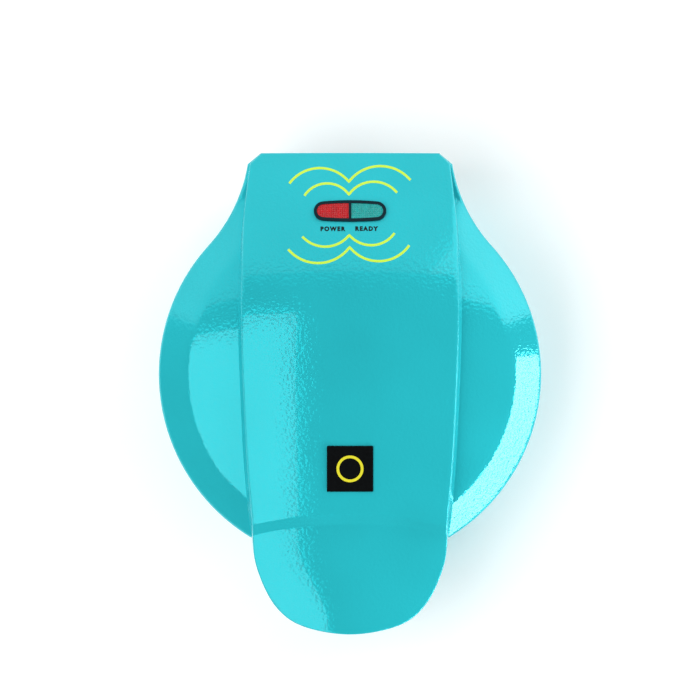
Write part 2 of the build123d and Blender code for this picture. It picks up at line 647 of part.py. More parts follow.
for name, side in (("power", -1), ("ready", 1)):
    with BuildPart() as lens:
        with BuildSketch(pod_plane.offset(-LAMP_NECK + 2)):
            add(window_outline(side))
        extrude(amount=LAMP_NECK - 1.4)
    lens.part.label = f"{name}_lens"
    export_step(lens.part.moved(TO_FOOTPRINT), f"parts/{name}_lens.step")

    with BuildPart() as lamp:
        bulb_x = side * (LAMP_BAR + LAMP_HALF_L - LAMP_RIM) / 2
        bulb_z = LAMP_BULB_R - LAMP_NECK - LAMP_HOLDER_T + 1
        with Locations(pod_plane.location * Location((bulb_x, 0, bulb_z))):
            Cylinder(LAMP_BULB_R, 9, rotation=(0, 90, 0))
    lamp.part.label = f"{name}_lamp"
    export_step(lamp.part.moved(TO_FOOTPRINT), f"parts/{name}_lamp.step")

with BuildPart() as lamp_holder:
    with BuildSketch(pod_plane.offset(-LAMP_NECK - LAMP_HOLDER_T)):
        add(pod_outline(LAMP_SEAT))
    extrude(amount=LAMP_HOLDER_T)
    for side in (-1, 1):
        with BuildSketch(pod_plane.offset(-LAMP_NECK - LAMP_HOLDER_T + 1)):
            add(window_outline(side))
        extrude(amount=LAMP_HOLDER_T, mode=Mode.SUBTRACT)
lamp_holder.part.label = "lamp_holder"
export_step(lamp_holder.part.moved(TO_FOOTPRINT), "parts/lamp_holder.step")

# ---------------------------------------------------------------- base
with BuildPart() as base_shell:
    add(base_form())
    add(base_tongue(0.0, BASE_HANDLE_Z, BASE_HANDLE_TOP_Z))
    add(base_form(WALL), mode=Mode.SUBTRACT)
    add(base_tongue(WALL, BASE_HANDLE_Z + WALL, BASE_HANDLE_TOP_Z), mode=Mode.SUBTRACT)
    add(posts(BASE_BOSS_SPOTS, 4.6, FLOOR_Z, BASE_BOSS_Z))
    add(posts(BASE_BOSS_SPOTS, SCREW_R + HOLE_GAP, FLOOR_Z, BASE_BOSS_Z), mode=Mode.SUBTRACT)
    add(posts(BASE_BOSS_SPOTS, SCREW_HEAD_R + 2 * HOLE_GAP, FLOOR_Z, LONG_SCREW_Z), mode=Mode.SUBTRACT)
    add(posts(BASE_GRIP_SCREWS, SCREW_R + HOLE_GAP, BASE_HANDLE_Z, BASE_HANDLE_Z + WALL), mode=Mode.SUBTRACT)
    grip_recess = posts(BASE_GRIP_SCREWS, SCREW_HEAD_R + HOLE_GAP, BASE_HANDLE_Z, BASE_HANDLE_Z + FLUSH_HEAD_T)
    add(grip_recess, mode=Mode.SUBTRACT)
    add(posts(FEET.values(), FOOT_STUD_R, FLOOR_Z, FLOOR_Z + WALL), mode=Mode.SUBTRACT)
    lug_slot_x = LUG_X[0] + LUG_X[1]
    for side in (-1, 1):
        with Locations((side * lug_slot_x / 2, BASE_REAR_Y - WALL / 2, BASE_TOP_Z)):
            Box(LUG_X[1] - LUG_X[0] + 2 * FRAME_GAP, WALL * 2, 2 * (ARM_T + 2 * FRAME_GAP), mode=Mode.SUBTRACT)
    with Locations((0, BASE_REAR_Y - WALL / 2, GLAND_Z)):
        Cylinder(GLAND_NECK_R, WALL * 2, rotation=(90, 0, 0), mode=Mode.SUBTRACT)
    with Locations((LEAD_X, BASE_REAR_Y - WALL / 2, LEAD_Z)):
        Cylinder(LEAD_R + FRAME_GAP, WALL * 2, rotation=(90, 0, 0), mode=Mode.SUBTRACT)
base_shell.part.label = "base_shell"
export_step(base_shell.part.moved(TO_FOOTPRINT), "parts/base_shell.step")

with BuildPart() as base_frame:
    add(frame_ring(BASE_INSET + WALL + FRAME_GAP, FRAME_REAR_Y))
    add(posts(BASE_BOSS_SPOTS, 4.0, BASE_BOSS_Z, PLATE_BACK_Z))
    add(posts(BASE_BOSS_SPOTS, SCREW_R, BASE_BOSS_Z, LONG_SCREW_Z + LONG_SCREW_L), mode=Mode.SUBTRACT)
    add(knuckle(LUG_X, FRAME_REAR_Y - 2, FRAME_TOP_Z - ARM_T, PIN_R))
base_frame.part.label = "base_frame"
export_step(base_frame.part.moved(TO_FOOTPRINT), "parts/base_frame.step")

with BuildPart() as base_screws:
    add(screws(BASE_BOSS_SPOTS, LONG_SCREW_Z, LONG_SCREW_L))
base_screws.part.label = "base_screws"
export_step(base_screws.part.moved(TO_FOOTPRINT), "parts/base_screws.step")

for side_name, side in (("left", -1), ("right", 1)):
    with BuildPart() as hinge_pin:
        with Locations((side * (PIN_X[0] + PIN_X[1]) / 2, HINGE_Y, HINGE_Z)):
            Cylinder(PIN_R, PIN_X[1] - PIN_X[0], rotation=(0, 90, 0))
        chamfer(hinge_pin.edges(), 0.4)
    hinge_pin.part.label = f"hinge_pin_{side_name}"
    export_step(hinge_pin.part.moved(TO_FOOTPRINT), f"parts/hinge_pin_{side_name}.step")

with BuildPart() as base_handle_cover:
    cover_z = BASE_HANDLE_TOP_Z - HANDLE_COVER_T
    add(base_tongue(WALL + FRAME_GAP, cover_z, BASE_HANDLE_TOP_Z))
    add(posts(BASE_GRIP_SCREWS, 3.4, BASE_HANDLE_Z + WALL, cover_z))
    add(posts(BASE_GRIP_SCREWS, SCREW_R, BASE_HANDLE_Z + WALL, cover_z), mode=Mode.SUBTRACT)
base_handle_cover.part.label = "base_handle_cover"
export_step(base_handle_cover.part.moved(TO_FOOTPRINT), "parts/base_handle_cover.step")

with BuildPart() as base_handle_screws:
    add(screws(BASE_GRIP_SCREWS, BASE_HANDLE_Z + FLUSH_HEAD_T, 7.0, FLUSH_HEAD_T))
base_handle_screws.part.label = "base_handle_screws"
export_step(base_handle_screws.part.moved(TO_FOOTPRINT), "parts/base_handle_screws.step")

for corner, spot in FEET.items():
    with BuildPart() as foot:
        with Locations(spot):
            Cylinder(FOOT_R, FLOOR_Z, align=STANDING)
        fillet(foot.edges().sort_by(Axis.Z)[0], 1.0)
        with Locations((*spot, FLOOR_Z)):
            Cylinder(FOOT_STUD_R, WALL + 1, align=STANDING)
    foot.part.label = f"foot_{corner}"
    export_step(foot.part.moved(TO_FOOTPRINT), f"parts/foot_{corner}.step")

# ---------------------------------------------------------------- cooking plates, heaters and heat shields
lower_pieces = {
    "cooking_plate": cooking_plate(),
    "heater": heater(),
    "heat_shield": heat_shield(),
    "shield_screws": screws(POST_SPOTS, SHIELD_Z, SHIELD_SCREW_L - 1),
    "plate_screws": screws(PLATE_SCREW_SPOTS, PLATE_BACK_Z - LEDGE_T, LEDGE_T + PLATE_SCREW_BITE - 0.2),
    "thermostat": thermostat(),
}
for name, shape in lower_pieces.items():
    with BuildPart() as lower_piece:
        add(shape)
    lower_piece.part.label = f"lower_{name}"
    export_step(lower_piece.part.moved(TO_FOOTPRINT), f"parts/lower_{name}.step")

    with BuildPart() as upper_piece:
        add(turned_over(shape))
    upper_piece.part.label = f"upper_{name}"
    export_step(upper_piece.part.moved(TO_FOOTPRINT), f"parts/upper_{name}.step")

# ---------------------------------------------------------------- cord entry and wiring
with BuildPart() as cord_gland:
    rear_wall = Plane(origin=(0, BASE_REAR_Y, GLAND_Z), x_dir=(-1, 0, 0), z_dir=(0, 1, 0))
    with BuildSketch(rear_wall):
        Circle(GLAND_FLANGE_R)
    extrude(amount=2)
    with BuildSketch(rear_wall):
        Circle(GLAND_NECK_R)
    extrude(amount=-WALL)
    with BuildSketch(rear_wall.offset(-WALL)):
        Circle(GLAND_FLANGE_R - 1)
    extrude(amount=-2)
    with BuildSketch(rear_wall.offset(2)):
        Circle(GLAND_NECK_R)
    extrude(amount=14, taper=3)
    with BuildSketch(rear_wall.offset(-WALL - 2)):
        Circle(GLAND_BORE_R)
    extrude(amount=WALL + 20, mode=Mode.SUBTRACT)
cord_gland.part.label = "cord_gland"
export_step(cord_gland.part.moved(TO_FOOTPRINT), "parts/cord_gland.step")

with BuildPart() as cord_clamp:
    with Locations((0, 87, FLOOR_Z + WALL)):
        Box(22, 7, GLAND_Z - FLOOR_Z - WALL + GLAND_BORE_R + 2.5, align=STANDING)
    fillet(cord_clamp.edges().filter_by(Axis.Y).group_by(Axis.Z)[-1], 3.0)
    with Locations((0, 87, GLAND_Z)):
        Cylinder(GLAND_BORE_R, 10, rotation=(90, 0, 0), mode=Mode.SUBTRACT)
cord_clamp.part.label = "cord_clamp"
export_step(cord_clamp.part.moved(TO_FOOTPRINT), "parts/cord_clamp.step")

with BuildPart() as terminal_block:
    with Locations((-24, 87, FLOOR_Z + WALL)):
        Box(20, 8, 10, align=STANDING)
    with Locations((-24, 87, FLOOR_Z + WALL + 10)):
        with GridLocations(6.4, 1, 3, 1):
            Cylinder(2.0, 2.5, align=STANDING)
            Cylinder(1.3, 6, align=HANGING, mode=Mode.SUBTRACT)
            Cylinder(1.3, 3, align=STANDING, mode=Mode.SUBTRACT)
terminal_block.part.label = "terminal_block"
export_step(terminal_block.part.moved(TO_FOOTPRINT), "parts/terminal_block.step")

leg_x, leg_y = on_circle(HEATER_R, 90 - HEATER_LEG_ANGLE)
with BuildPart() as base_wiring:
    for leg_side, block_x in ((-1, -24), (1, -18)):
        x = leg_side * leg_x
        run = [(x, leg_y, HEATER_LEG_Z), (x, leg_y, 10.5), (x, 70, 10.5), (block_x, 77, 12.5), (block_x, 83, 12.5)]
        add(wire(run, 1.6, WIRE_R))
base_wiring.part.label = "base_wiring"
export_step(base_wiring.part.moved(TO_FOOTPRINT), "parts/base_wiring.step")

with BuildPart() as base_lead:
    run = [(LEAD_X, 86, 14), (LEAD_X, 86, LEAD_Z), (LEAD_X, HINGE_Y, LEAD_Z), (LEAD_X, HINGE_Y, HINGE_Z)]
    add(wire(run + [(LEAD_MEET_X, HINGE_Y, HINGE_Z)], LEAD_BEND_R, LEAD_R))
base_lead.part.label = "base_lead"
export_step(base_lead.part.moved(TO_FOOTPRINT), "parts/base_lead.step")

lead_top_z = HINGE_Z + 9.5
lead_turn_x = LEAD_MEET_X + 5.5
with BuildPart() as lid_lead:
    run = [(LEAD_MEET_X + 0.2, HINGE_Y, HINGE_Z), (lead_turn_x, HINGE_Y, HINGE_Z)]
    run += [(lead_turn_x, HINGE_Y, lead_top_z), (lead_turn_x, 88, lead_top_z)]
    add(wire(run, LEAD_BEND_R, LEAD_R))
lid_lead.part.label = "lid_lead"
export_step(lid_lead.part.moved(TO_FOOTPRINT), "parts/lid_lead.step")

with BuildPart() as lid_wiring:
    leg_top_z = 2 * PARTING_Z - HEATER_LEG_Z
    for side in (-1, 1):
        x = side * leg_x
        end_x = lead_turn_x + side
        run = [(x, leg_y, leg_top_z), (x, leg_y, leg_top_z + 2.4), (end_x, 83.5, 72), (end_x, 83.5, lead_top_z)]
        add(wire(run + [(end_x, 88, lead_top_z)], 1.2, WIRE_R - 0.2))
lid_wiring.part.label = "lid_wiring"
export_step(lid_wiring.part.moved(TO_FOOTPRINT), "parts/lid_wiring.step")
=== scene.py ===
"""Donut maker: a clamshell appliance with a glossy moulded lid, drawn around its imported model."""

import json
import math

import bmesh
import bpy
from mathutils import Matrix, Vector


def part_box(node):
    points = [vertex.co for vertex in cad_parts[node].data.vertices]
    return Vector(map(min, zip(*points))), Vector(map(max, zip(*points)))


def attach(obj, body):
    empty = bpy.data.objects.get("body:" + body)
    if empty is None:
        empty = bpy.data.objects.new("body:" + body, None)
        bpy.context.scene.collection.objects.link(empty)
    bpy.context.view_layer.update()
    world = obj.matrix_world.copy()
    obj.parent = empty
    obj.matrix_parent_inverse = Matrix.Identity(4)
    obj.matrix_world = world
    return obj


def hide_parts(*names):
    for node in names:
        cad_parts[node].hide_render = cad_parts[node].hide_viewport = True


bl_info = {
    "name": "Donut Maker",
    "version": (1, 0, 0),
    "blender": (4, 5, 0),
    "location": "3D View > Sidebar > Donut Maker",
    "description": "Lid, signal lamps, printing, finishes and studio for a donut maker",
    "category": "Object",
}

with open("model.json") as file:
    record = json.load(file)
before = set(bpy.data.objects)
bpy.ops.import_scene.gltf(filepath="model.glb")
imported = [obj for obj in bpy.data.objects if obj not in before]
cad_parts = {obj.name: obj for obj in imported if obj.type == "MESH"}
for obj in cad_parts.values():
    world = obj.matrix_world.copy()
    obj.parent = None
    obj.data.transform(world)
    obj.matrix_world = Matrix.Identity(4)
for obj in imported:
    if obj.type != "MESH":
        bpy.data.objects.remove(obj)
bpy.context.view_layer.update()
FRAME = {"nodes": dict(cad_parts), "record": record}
MM = 0.001

# Middle of the cooking plates, on the table: sizes in this file are in mm from there
PLATE_LOW, PLATE_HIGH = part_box("lower_cooking_plate")
PLATES_Y = (PLATE_LOW.y + PLATE_HIGH.y) / 2
LID_LOW, LID_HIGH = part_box("lid_shell")
REAR_Y = (LID_HIGH.y - PLATES_Y) / MM
TIP_Y = (LID_LOW.y - PLATES_Y) / MM
BODY_R = LID_HIGH.x / MM
BAND_Z = LID_HIGH.z / MM
HOOD_Z = LID_LOW.z / MM
GRIP_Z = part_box("lid_handle_cover")[0].z / MM

# Plan of the lid
SHOULDER_R = 88.0
SHOULDER_ANGLE = math.radians(42.2)
CORNER = (56.4, 115.5)
REAR_X = 49.2
HOOD_Y = 100.0
BAND_EDGE = [(55.3, 115.5), (60.4, 70.0), (61.6, 25.0), (58.6, -46.0), (54.2, -91.0)]
GRIP_EDGE = [(49.8, -111.0), (40.2, -128.7), (25.5, -138.7)]

# Heights and curves of the lid
LID_Z = 47.0
SKIRT_TOP_Z = 58.0
CROWN_Z = 91.0
CROWN_R = 213.0
BAND_REAR_R = 255.0
BAND_FRONT_R = 400.0
BAND_CROWN_R = 300.0
STEP_R = 224.0
STEP_Y = -82.0
STEP_DROP = 4.0
STEP_RUN = 6.0
GRIP_ROOT_Y = STEP_Y + 12.0
GRIP_SLOPE = math.tan(math.radians(9.0))
FLANK_SLOPE = math.tan(math.radians(40.0))
CREASE = 0.8
RIM_R = 3.0
RIM_Z = SKIRT_TOP_Z - 1.4
BODY_WALL = 2.3
BAND_WALL = 1.9
BAND_LAP = 1.5
REAR_ROUND = 0.8
SPINE_TURN_Y = -55.0
SPINE_RUN = 72.0

# The handle is domed more and more from DOME_Y to its tip
DOME_Y = -92.0
DOME_RUN = 46.0
TIP_CROWN_R = 120.0

# Signal lamps, badge and cord gland
LAMP_Y = 89.0
LENS_W = 9.0
LENS_TOP = 0.6
BADGE_Y = -51.4
BADGE_TOP = 0.3
FOIL = 0.12
RING_SIDES = 72
GLAND_R = 5.0
GLAND_RINGS = 4

# Printed words: capital height as a share of the type's size, growth of each stroke, letter spacing
CAPITAL_HEIGHT = 0.72
STROKE_GROWTH = 0.2
LETTER_SPACING = 1.34
POWER_SPOT = (-9.5, 79.2)
READY_SPOT = (8.9, 79.3)
FILM_DEPTH = 0.1

# Printed wave lines, each a chain of arcs through three points
WAVES = [
    [((-33.2, 104.4), (-18.0, 112.9), (-0.6, 105.3)), ((-0.6, 105.3), (15.0, 114.0), (33.1, 106.3))],
    [((-24.9, 97.6), (-13.2, 104.4), (-0.6, 98.2)), ((-0.6, 98.2), (11.5, 105.3), (25.7, 99.3))],
    [((-26.0, 75.1), (-12.3, 69.6), (-0.4, 75.9)), ((-0.4, 75.9), (12.9, 70.4), (24.3, 77.0))],
    [((-33.7, 68.1), (-16.0, 60.6), (-0.2, 69.3)), ((-0.2, 69.3), (16.6, 61.6), (32.3, 70.3))],
]

# Studio, in metres and degrees. The softbox overhead covers these angles off vertical to the left,
# right, front and back; the low strip stands to the right and in front
SIDE_BOX = (-60.0, -12.0, -52.0, 16.0)
CEILING = 2.4
STRIP_AWAY = 3.6
STRIP_AZIMUTH = -34.0
STRIP_Z = 0.74
FLOOR_REACH = 30.0


def place(point):
    """A point in mm from the plates' middle, as metres in the shared frame."""
    return Vector((point[0] * MM, point[1] * MM + PLATES_Y, point[2] * MM))


# ---------------------------------------------------------------- shape of the lid
def lid_depth(x, y):
    """How far a point lies inside the lid's outline."""
    x = abs(x)
    if math.atan2(y, x) < SHOULDER_ANGLE:
        return BODY_R - math.hypot(x, y)
    reach = BODY_R + SHOULDER_R
    to_shoulder = math.hypot(x - reach * math.cos(SHOULDER_ANGLE), y - reach * math.sin(SHOULDER_ANGLE))
    run, rise = CORNER[0] - REAR_X, REAR_Y - CORNER[1]
    to_chamfer = ((CORNER[0] - x) * rise + (CORNER[1] - y) * run) / math.hypot(run, rise)
    return min(to_shoulder - SHOULDER_R, to_chamfer, REAR_Y - y)


def blend_low(a, b, width):
    """The smaller of two heights, with the crease between them rounded over the width."""
    h = max(width - abs(a - b), 0.0) / width
    return min(a, b) - h * h * width / 4


def eased(t):
    """0 to 1, slow at both ends."""
    t = min(max(t, 0.0), 1.0)
    return t * t * (3 - 2 * t)


def body_height(x, y):
    """Top of the round body: a rounded rim, a steep flank and a domed crown."""
    depth = max(lid_depth(x, y), 0.0)
    if depth < 1.07:
        return RIM_Z + math.sqrt(RIM_R**2 - (RIM_R - depth) ** 2)
    flank = SKIRT_TOP_Z + depth * FLANK_SLOPE
    crown = CROWN_Z - CROWN_R + math.sqrt(CROWN_R**2 - x * x - y * y)
    return max(blend_low(flank, crown, CREASE), SKIRT_TOP_Z + 0.9)


def band_height(x, y):
    """Top of the raised band and of the handle that it steps down into."""
    radius = BAND_REAR_R if y > 0 else BAND_FRONT_R
    band = BAND_Z - radius + math.sqrt(radius**2 - y * y)
    root = BAND_Z - BAND_FRONT_R + math.sqrt(BAND_FRONT_R**2 - GRIP_ROOT_Y**2) - STEP_DROP
    grip = root + (y - GRIP_ROOT_Y) * GRIP_SLOPE
    t = (math.hypot(x, y - STEP_Y + STEP_R) - STEP_R) / STEP_RUN
    t = 0.75 * min(max(t, 0.0), 1.0) + 0.25 * eased(t)
    doming = eased((DOME_Y - y) / DOME_RUN)
    crown_r = BAND_CROWN_R + (TIP_CROWN_R - BAND_CROWN_R) * doming
    return grip + (band - grip) * t - x * x / (2 * crown_r)


def smooth_line(points, count):
    """Points evenly spread along a smooth line through the given ones, which ends on the middle plane."""
    spans = len(points) - 1
    before = 2 * Vector(points[0]) - Vector(points[1])
    after = Vector((-points[-2][0], points[-2][1]))
    knots = [before, *map(Vector, points), after]
    dense = []
    for i in range(spans * 40 + 1):
        span = min(i // 40, spans - 1)
        t = i / 40 - span
        a, b, c, d = knots[span : span + 4]
        square, cube = 2 * a - 5 * b + 4 * c - d, 3 * b - a - 3 * c + d
        dense.append(0.5 * (2 * b + (c - a) * t + square * t**2 + cube * t**3))
    travelled = [0.0]
    for before, after in zip(dense, dense[1:]):
        travelled.append(travelled[-1] + (after - before).length)
    line, at = [], 0
    for i in range(count):
        goal = travelled[-1] * i / (count - 1)
        while at < len(dense) - 2 and travelled[at + 1] < goal:
            at += 1
        share = (goal - travelled[at]) / max(travelled[at + 1] - travelled[at], 1e-9)
        line.append(dense[at].lerp(dense[at + 1], min(share, 1.0)))
    return line


def body_outline():
    """Plan of the lid's body, once round from the front, with its rear corners."""
    reach = BODY_R + SHOULDER_R
    centre = Vector((reach * math.cos(SHOULDER_ANGLE), reach * math.sin(SHOULDER_ANGLE)))
    right = []
    for i in range(121):
        angle = -math.pi / 2 + (math.pi / 2 + SHOULDER_ANGLE) * i / 120
        right.append(Vector((BODY_R * math.cos(angle), BODY_R * math.sin(angle))))
    end = math.atan2(CORNER[1] - centre.y, CORNER[0] - centre.x) % (2 * math.pi)
    for i in range(1, 31):
        angle = math.pi + SHOULDER_ANGLE + (end - math.pi - SHOULDER_ANGLE) * i / 30
        right.append(centre + SHOULDER_R * Vector((math.cos(angle), math.sin(angle))))
    right += [Vector((REAR_X, REAR_Y)).lerp(Vector(CORNER), t) for t in (0.5, 0.0)]
    right += [Vector((REAR_X * (1 - i / 20), REAR_Y)) for i in range(1, 21)]
    left = [Vector((-p.x, p.y)) for p in reversed(right[1:-1])]
    return right + left


def grid_faces(rows, columns, closed):
    """Quads between rows of points, each row joined to the next; closed rows also join end to start."""
    last = columns if closed else columns - 1
    for r in range(rows - 1):
        for c in range(last):
            n = (c + 1) % columns
            yield (r * columns + c, r * columns + n, (r + 1) * columns + n, (r + 1) * columns + c)


def skin_object(name, points, faces, thickness):
    """A closed shell from an open outer surface, moulded to a wall thickness."""
    mesh = bpy.data.meshes.new(name)
    mesh.from_pydata([place(p) for p in points], [], list(faces))
    work = bmesh.new()
    work.from_mesh(mesh)
    bmesh.ops.remove_doubles(work, verts=work.verts, dist=0.02 * MM)
    bmesh.ops.recalc_face_normals(work, faces=work.faces)
    top = max(work.faces, key=lambda f: f.calc_center_median().z)
    if top.normal.z < 0:
        bmesh.ops.reverse_faces(work, faces=work.faces)
    work.to_mesh(mesh)
    work.free()
    obj = in_scene(bpy.data.objects.new(name, mesh))
    wall = obj.modifiers.new("wall", "SOLIDIFY")
    wall.thickness = thickness * MM
    wall.offset = -1.0
    wall.use_even_offset = False
    return settled(obj)


def settled(obj):
    """The object with its modifiers made real, smooth except at hard corners."""
    graph = bpy.context.evaluated_depsgraph_get()
    mesh = bpy.data.meshes.new_from_object(obj.evaluated_get(graph))
    old = obj.data
    obj.modifiers.clear()
    obj.data = mesh
    bpy.data.meshes.remove(old)
    smooth(obj)
    return obj


def smooth(obj, corner=38.0):
    obj.data.shade_smooth()
    obj.data.set_sharp_from_angle(angle=math.radians(corner))


def lid_body():
    """Round body of the lid: crown, flank, rim and skirt, with the hood over the hinge."""
    outline = body_outline()
    insets = [0.0, 0.12, 0.3, 0.55, 0.85, 1.1, 1.7, 2.6, 4.0, 5.5, 7.0]
    insets += [8.5, 10.0, 11.5, 13.0, 14.5, 16.0, 17.5, 19.0, 21.0, 23.5, 26.5]
    insets += [30, 34, 39, 45, 52, 60, 69, 79, 90, 100, BODY_R - 0.01]
    points = []
    for inset in reversed(insets):
        inner = [p * (1 - inset / BODY_R) for p in outline]
        points += [(*p, body_height(*p)) for p in inner]
    shares = (0.12, 0.45, 0.8, 0.95, 1.0)
    for share in shares:
        for p in outline:
            foot = HOOD_Z if p.y > HOOD_Y else LID_Z
            tuck = 0.5 if share == 1.0 else 0.0
            points.append((*(p * (1 - tuck / BODY_R)), RIM_Z + (foot - RIM_Z) * share))
    rows = len(insets) + len(shares)
    return skin_object("lid_body", points, grid_faces(rows, len(outline), True), BODY_WALL)


def lid_band():
    """Raised band over the body and the handle at its end: crowned top, rounded edges, drafted walls."""
    side = smooth_line([Vector(p) for p in BAND_EDGE + GRIP_EDGE] + [Vector((0.0, TIP_Y))], 260)
    backs = [0.0, 0.0, 0.08, 0.25, 0.5, 0.8, 1.2, 2.0, 3.2, 4.6]
    slant = (BAND_EDGE[0][0] - REAR_X) / (REAR_Y - CORNER[1])
    rear = [Vector((REAR_X + back * slant, REAR_Y - back)) for back in backs]
    edge = rear + side
    # Rows run straight across the band, then fan out round the handle's end
    length = sum((b - a).length for a, b in zip(side, side[1:]) if b.y < SPINE_TURN_Y)
    spine, travelled = [], 0.0
    for before, p in zip([edge[0]] + edge, edge):
        if p.y > SPINE_TURN_Y:
            spine.append(Vector((0.0, p.y)))
        else:
            travelled += (p - before).length
            spine.append(Vector((0.0, SPINE_TURN_Y - SPINE_RUN * travelled / length)))
    points = []
    for row, (out, mid) in enumerate(zip(edge, spine)):
        inwards = (mid - out) / (mid - out).length
        foot = GRIP_Z
        if lid_depth(*out) > BAND_LAP:
            foot = body_height(*out) - BAND_LAP
        # The edge is crisp at the rear and round the handle, and softer and more drafted over the body
        soft = eased((105.0 - out.y) / 60.0) * eased((out.y + 102.0) / 28.0)
        draft, round_r = 0.4 + 1.8 * soft, 0.7 + 0.7 * soft
        line = []
        for share in (1.0, 0.7, 0.35, 0.0):
            p = out + inwards * draft * (1 - share)
            top = band_height(*p) - round_r
            line.append((*p, top + (foot - top) * share))
        for turn in (25, 45, 65, 90):
            inset = draft + round_r * (1 - math.cos(math.radians(turn)))
            p = out + inwards * inset
            drop = round_r * (1 - math.sin(math.radians(turn)))
            line.append((*p, band_height(*p) - drop))
        steps = 30
        for i in range(1, steps + 1):
            p = (out + inwards * (draft + round_r)).lerp(mid, i / steps)
            line.append((*p, band_height(*p)))
        if row == 0:
            line = [(x, y, GRIP_Z) for x, y, z in line]
        elif backs[min(row, len(backs) - 1)] < REAR_ROUND:
            drop = REAR_ROUND - math.sqrt(REAR_ROUND**2 - (REAR_ROUND - backs[row]) ** 2)
            line = [(x, y, min(z, band_height(x, y) - drop)) for x, y, z in line]
        points += line
        points += [(-x, y, z) for x, y, z in reversed(line[:-1])]
    width = 2 * len(line) - 1
    return skin_object("lid_band", points, grid_faces(len(edge), width, False), BAND_WALL)


# ---------------------------------------------------------------- helpers for nodes and colours
def linear(hex_colour):
    """sRGB hex as linear red, green, blue and alpha."""
    parts = [int(hex_colour[i : i + 2], 16) / 255 for i in (1, 3, 5)]
    return (*(p / 12.92 if p <= 0.04045 else ((p + 0.055) / 1.055) ** 2.4 for p in parts), 1.0)


def add_node(tree, kind, inputs=(), **settings):
    """Adds a node with its settings; inputs gives each socket its value, or the socket that feeds it."""
    made = tree.nodes.new(kind)
    for key, value in settings.items():
        setattr(made, key, value)
    for key, value in dict(inputs).items():
        if isinstance(value, bpy.types.NodeSocket):
            tree.links.new(value, made.inputs[key])
        else:
            made.inputs[key].default_value = value
    return made


def toned(colour, factor=1.0, lift=0.0):
    """A setting's colour made darker or lighter, with its alpha."""
    return (*(c * factor + lift for c in colour), 1.0)


def new_material(name, inputs):
    """A material of one Principled shader, and its tree, position socket and shader."""
    material = bpy.data.materials.new(name)
    material.use_nodes = True
    tree = material.node_tree
    tree.nodes.clear()
    shader = add_node(tree, "ShaderNodeBsdfPrincipled", inputs)
    add_node(tree, "ShaderNodeOutputMaterial", {"Surface": shader.outputs["BSDF"]})
    spot = add_node(tree, "ShaderNodeTexCoord").outputs["Object"]
    return material, tree, spot, shader


def bumped(tree, shader, height, relief):
    """Feeds a height pattern, with its relief in mm, to the shader's normal."""
    bump = add_node(tree, "ShaderNodeBump", {"Height": height, "Distance": relief * MM, "Strength": 1.0})
    tree.links.new(bump.outputs["Normal"], shader.inputs["Normal"])


def noise(tree, spot, size, detail=2.0, roughness=0.5):
    """Soft noise whose patches are about the given size in mm."""
    inputs = {"Vector": spot, "Scale": 1 / (size * MM), "Detail": detail, "Roughness": roughness}
    return add_node(tree, "ShaderNodeTexNoise", inputs).outputs["Fac"]


def spread(tree, source, low, high, from_low=0.3, from_high=0.7):
    """A pattern's value stretched to a range."""
    inputs = {"Value": source, "From Min": from_low, "From Max": from_high, "To Min": low, "To Max": high}
    return add_node(tree, "ShaderNodeMapRange", inputs).outputs["Result"]


def shade(tree, source, dark, light, from_low=0.3, from_high=0.7):
    """A pattern's value as a colour between two."""
    ramp = add_node(tree, "ShaderNodeValToRGB", {"Fac": source})
    ramp.color_ramp.elements[0].position = from_low
    ramp.color_ramp.elements[0].color = dark
    ramp.color_ramp.elements[1].position = from_high
    ramp.color_ramp.elements[1].color = light
    return ramp.outputs["Color"]


# ---------------------------------------------------------------- materials
def gloss_abs(finish):
    """Turquoise ABS, injection moulded in a polished tool: deep colour under a clear, slightly wavy gloss."""
    inputs = {
        "IOR": 1.54,
        "Specular Tint": toned(finish.lid_sheen),
        "Specular IOR Level": 1.0,
        "Coat Weight": 0.27,
        "Coat Roughness": 0.05,
        "Coat IOR": 1.5,
    }
    material, tree, spot, shader = new_material("Gloss ABS, turquoise", inputs)
    # Pigment settles a little unevenly over centimetres
    flow = noise(tree, spot, 45.0, 1.0)
    colour = shade(tree, flow, toned(finish.lid_colour, 0.93), toned(finish.lid_colour))
    tree.links.new(colour, shader.inputs["Base Color"])
    # Fine polishing haze, which breaks up the edge of a reflection
    haze = noise(tree, spot, 6.0, 3.0)
    tree.links.new(spread(tree, haze, 0.05, 0.07), shader.inputs["Roughness"])
    # Orange peel of the gloss, 1.7 mm from crest to crest and a few hundredths of a millimetre high
    bumped(tree, shader, noise(tree, spot, 1.7, 1.0), 0.11)
    return material


def grained_polyamide(finish):
    """Black glass-filled polyamide, spark-eroded tool: matt with a fine leathery grain."""
    material, tree, spot, shader = new_material("Grained polyamide, black", {"IOR": 1.53})
    grain = noise(tree, spot, 0.7, 3.0)
    colour = shade(tree, grain, toned(finish.black_colour), toned(finish.black_colour, 1.35))
    tree.links.new(colour, shader.inputs["Base Color"])
    tree.links.new(spread(tree, grain, 0.42, 0.58), shader.inputs["Roughness"])
    bumped(tree, shader, grain, 0.03)
    return material


def nonstick_coating(finish):
    """PTFE non-stick coating on cast aluminium: dark, satin, with a sprayed orange peel and sparse mica."""
    material, tree, spot, shader = new_material("Non-stick coating, charcoal", {"IOR": 1.38})
    peel = noise(tree, spot, 1.6, 2.0)
    flakes = add_node(tree, "ShaderNodeTexVoronoi", {"Vector": spot, "Scale": 1 / (0.5 * MM)})
    fleck = spread(tree, flakes.outputs["Distance"], 1.0, 0.0, 0.03, 0.1)
    mica = toned(finish.coating_colour, 2.2, 0.02)
    colour = shade(tree, fleck, toned(finish.coating_colour), mica, 0.1, 0.9)
    tree.links.new(colour, shader.inputs["Base Color"])
    tree.links.new(spread(tree, peel, 0.3, 0.42), shader.inputs["Roughness"])
    bumped(tree, shader, peel, 0.02)
    return material


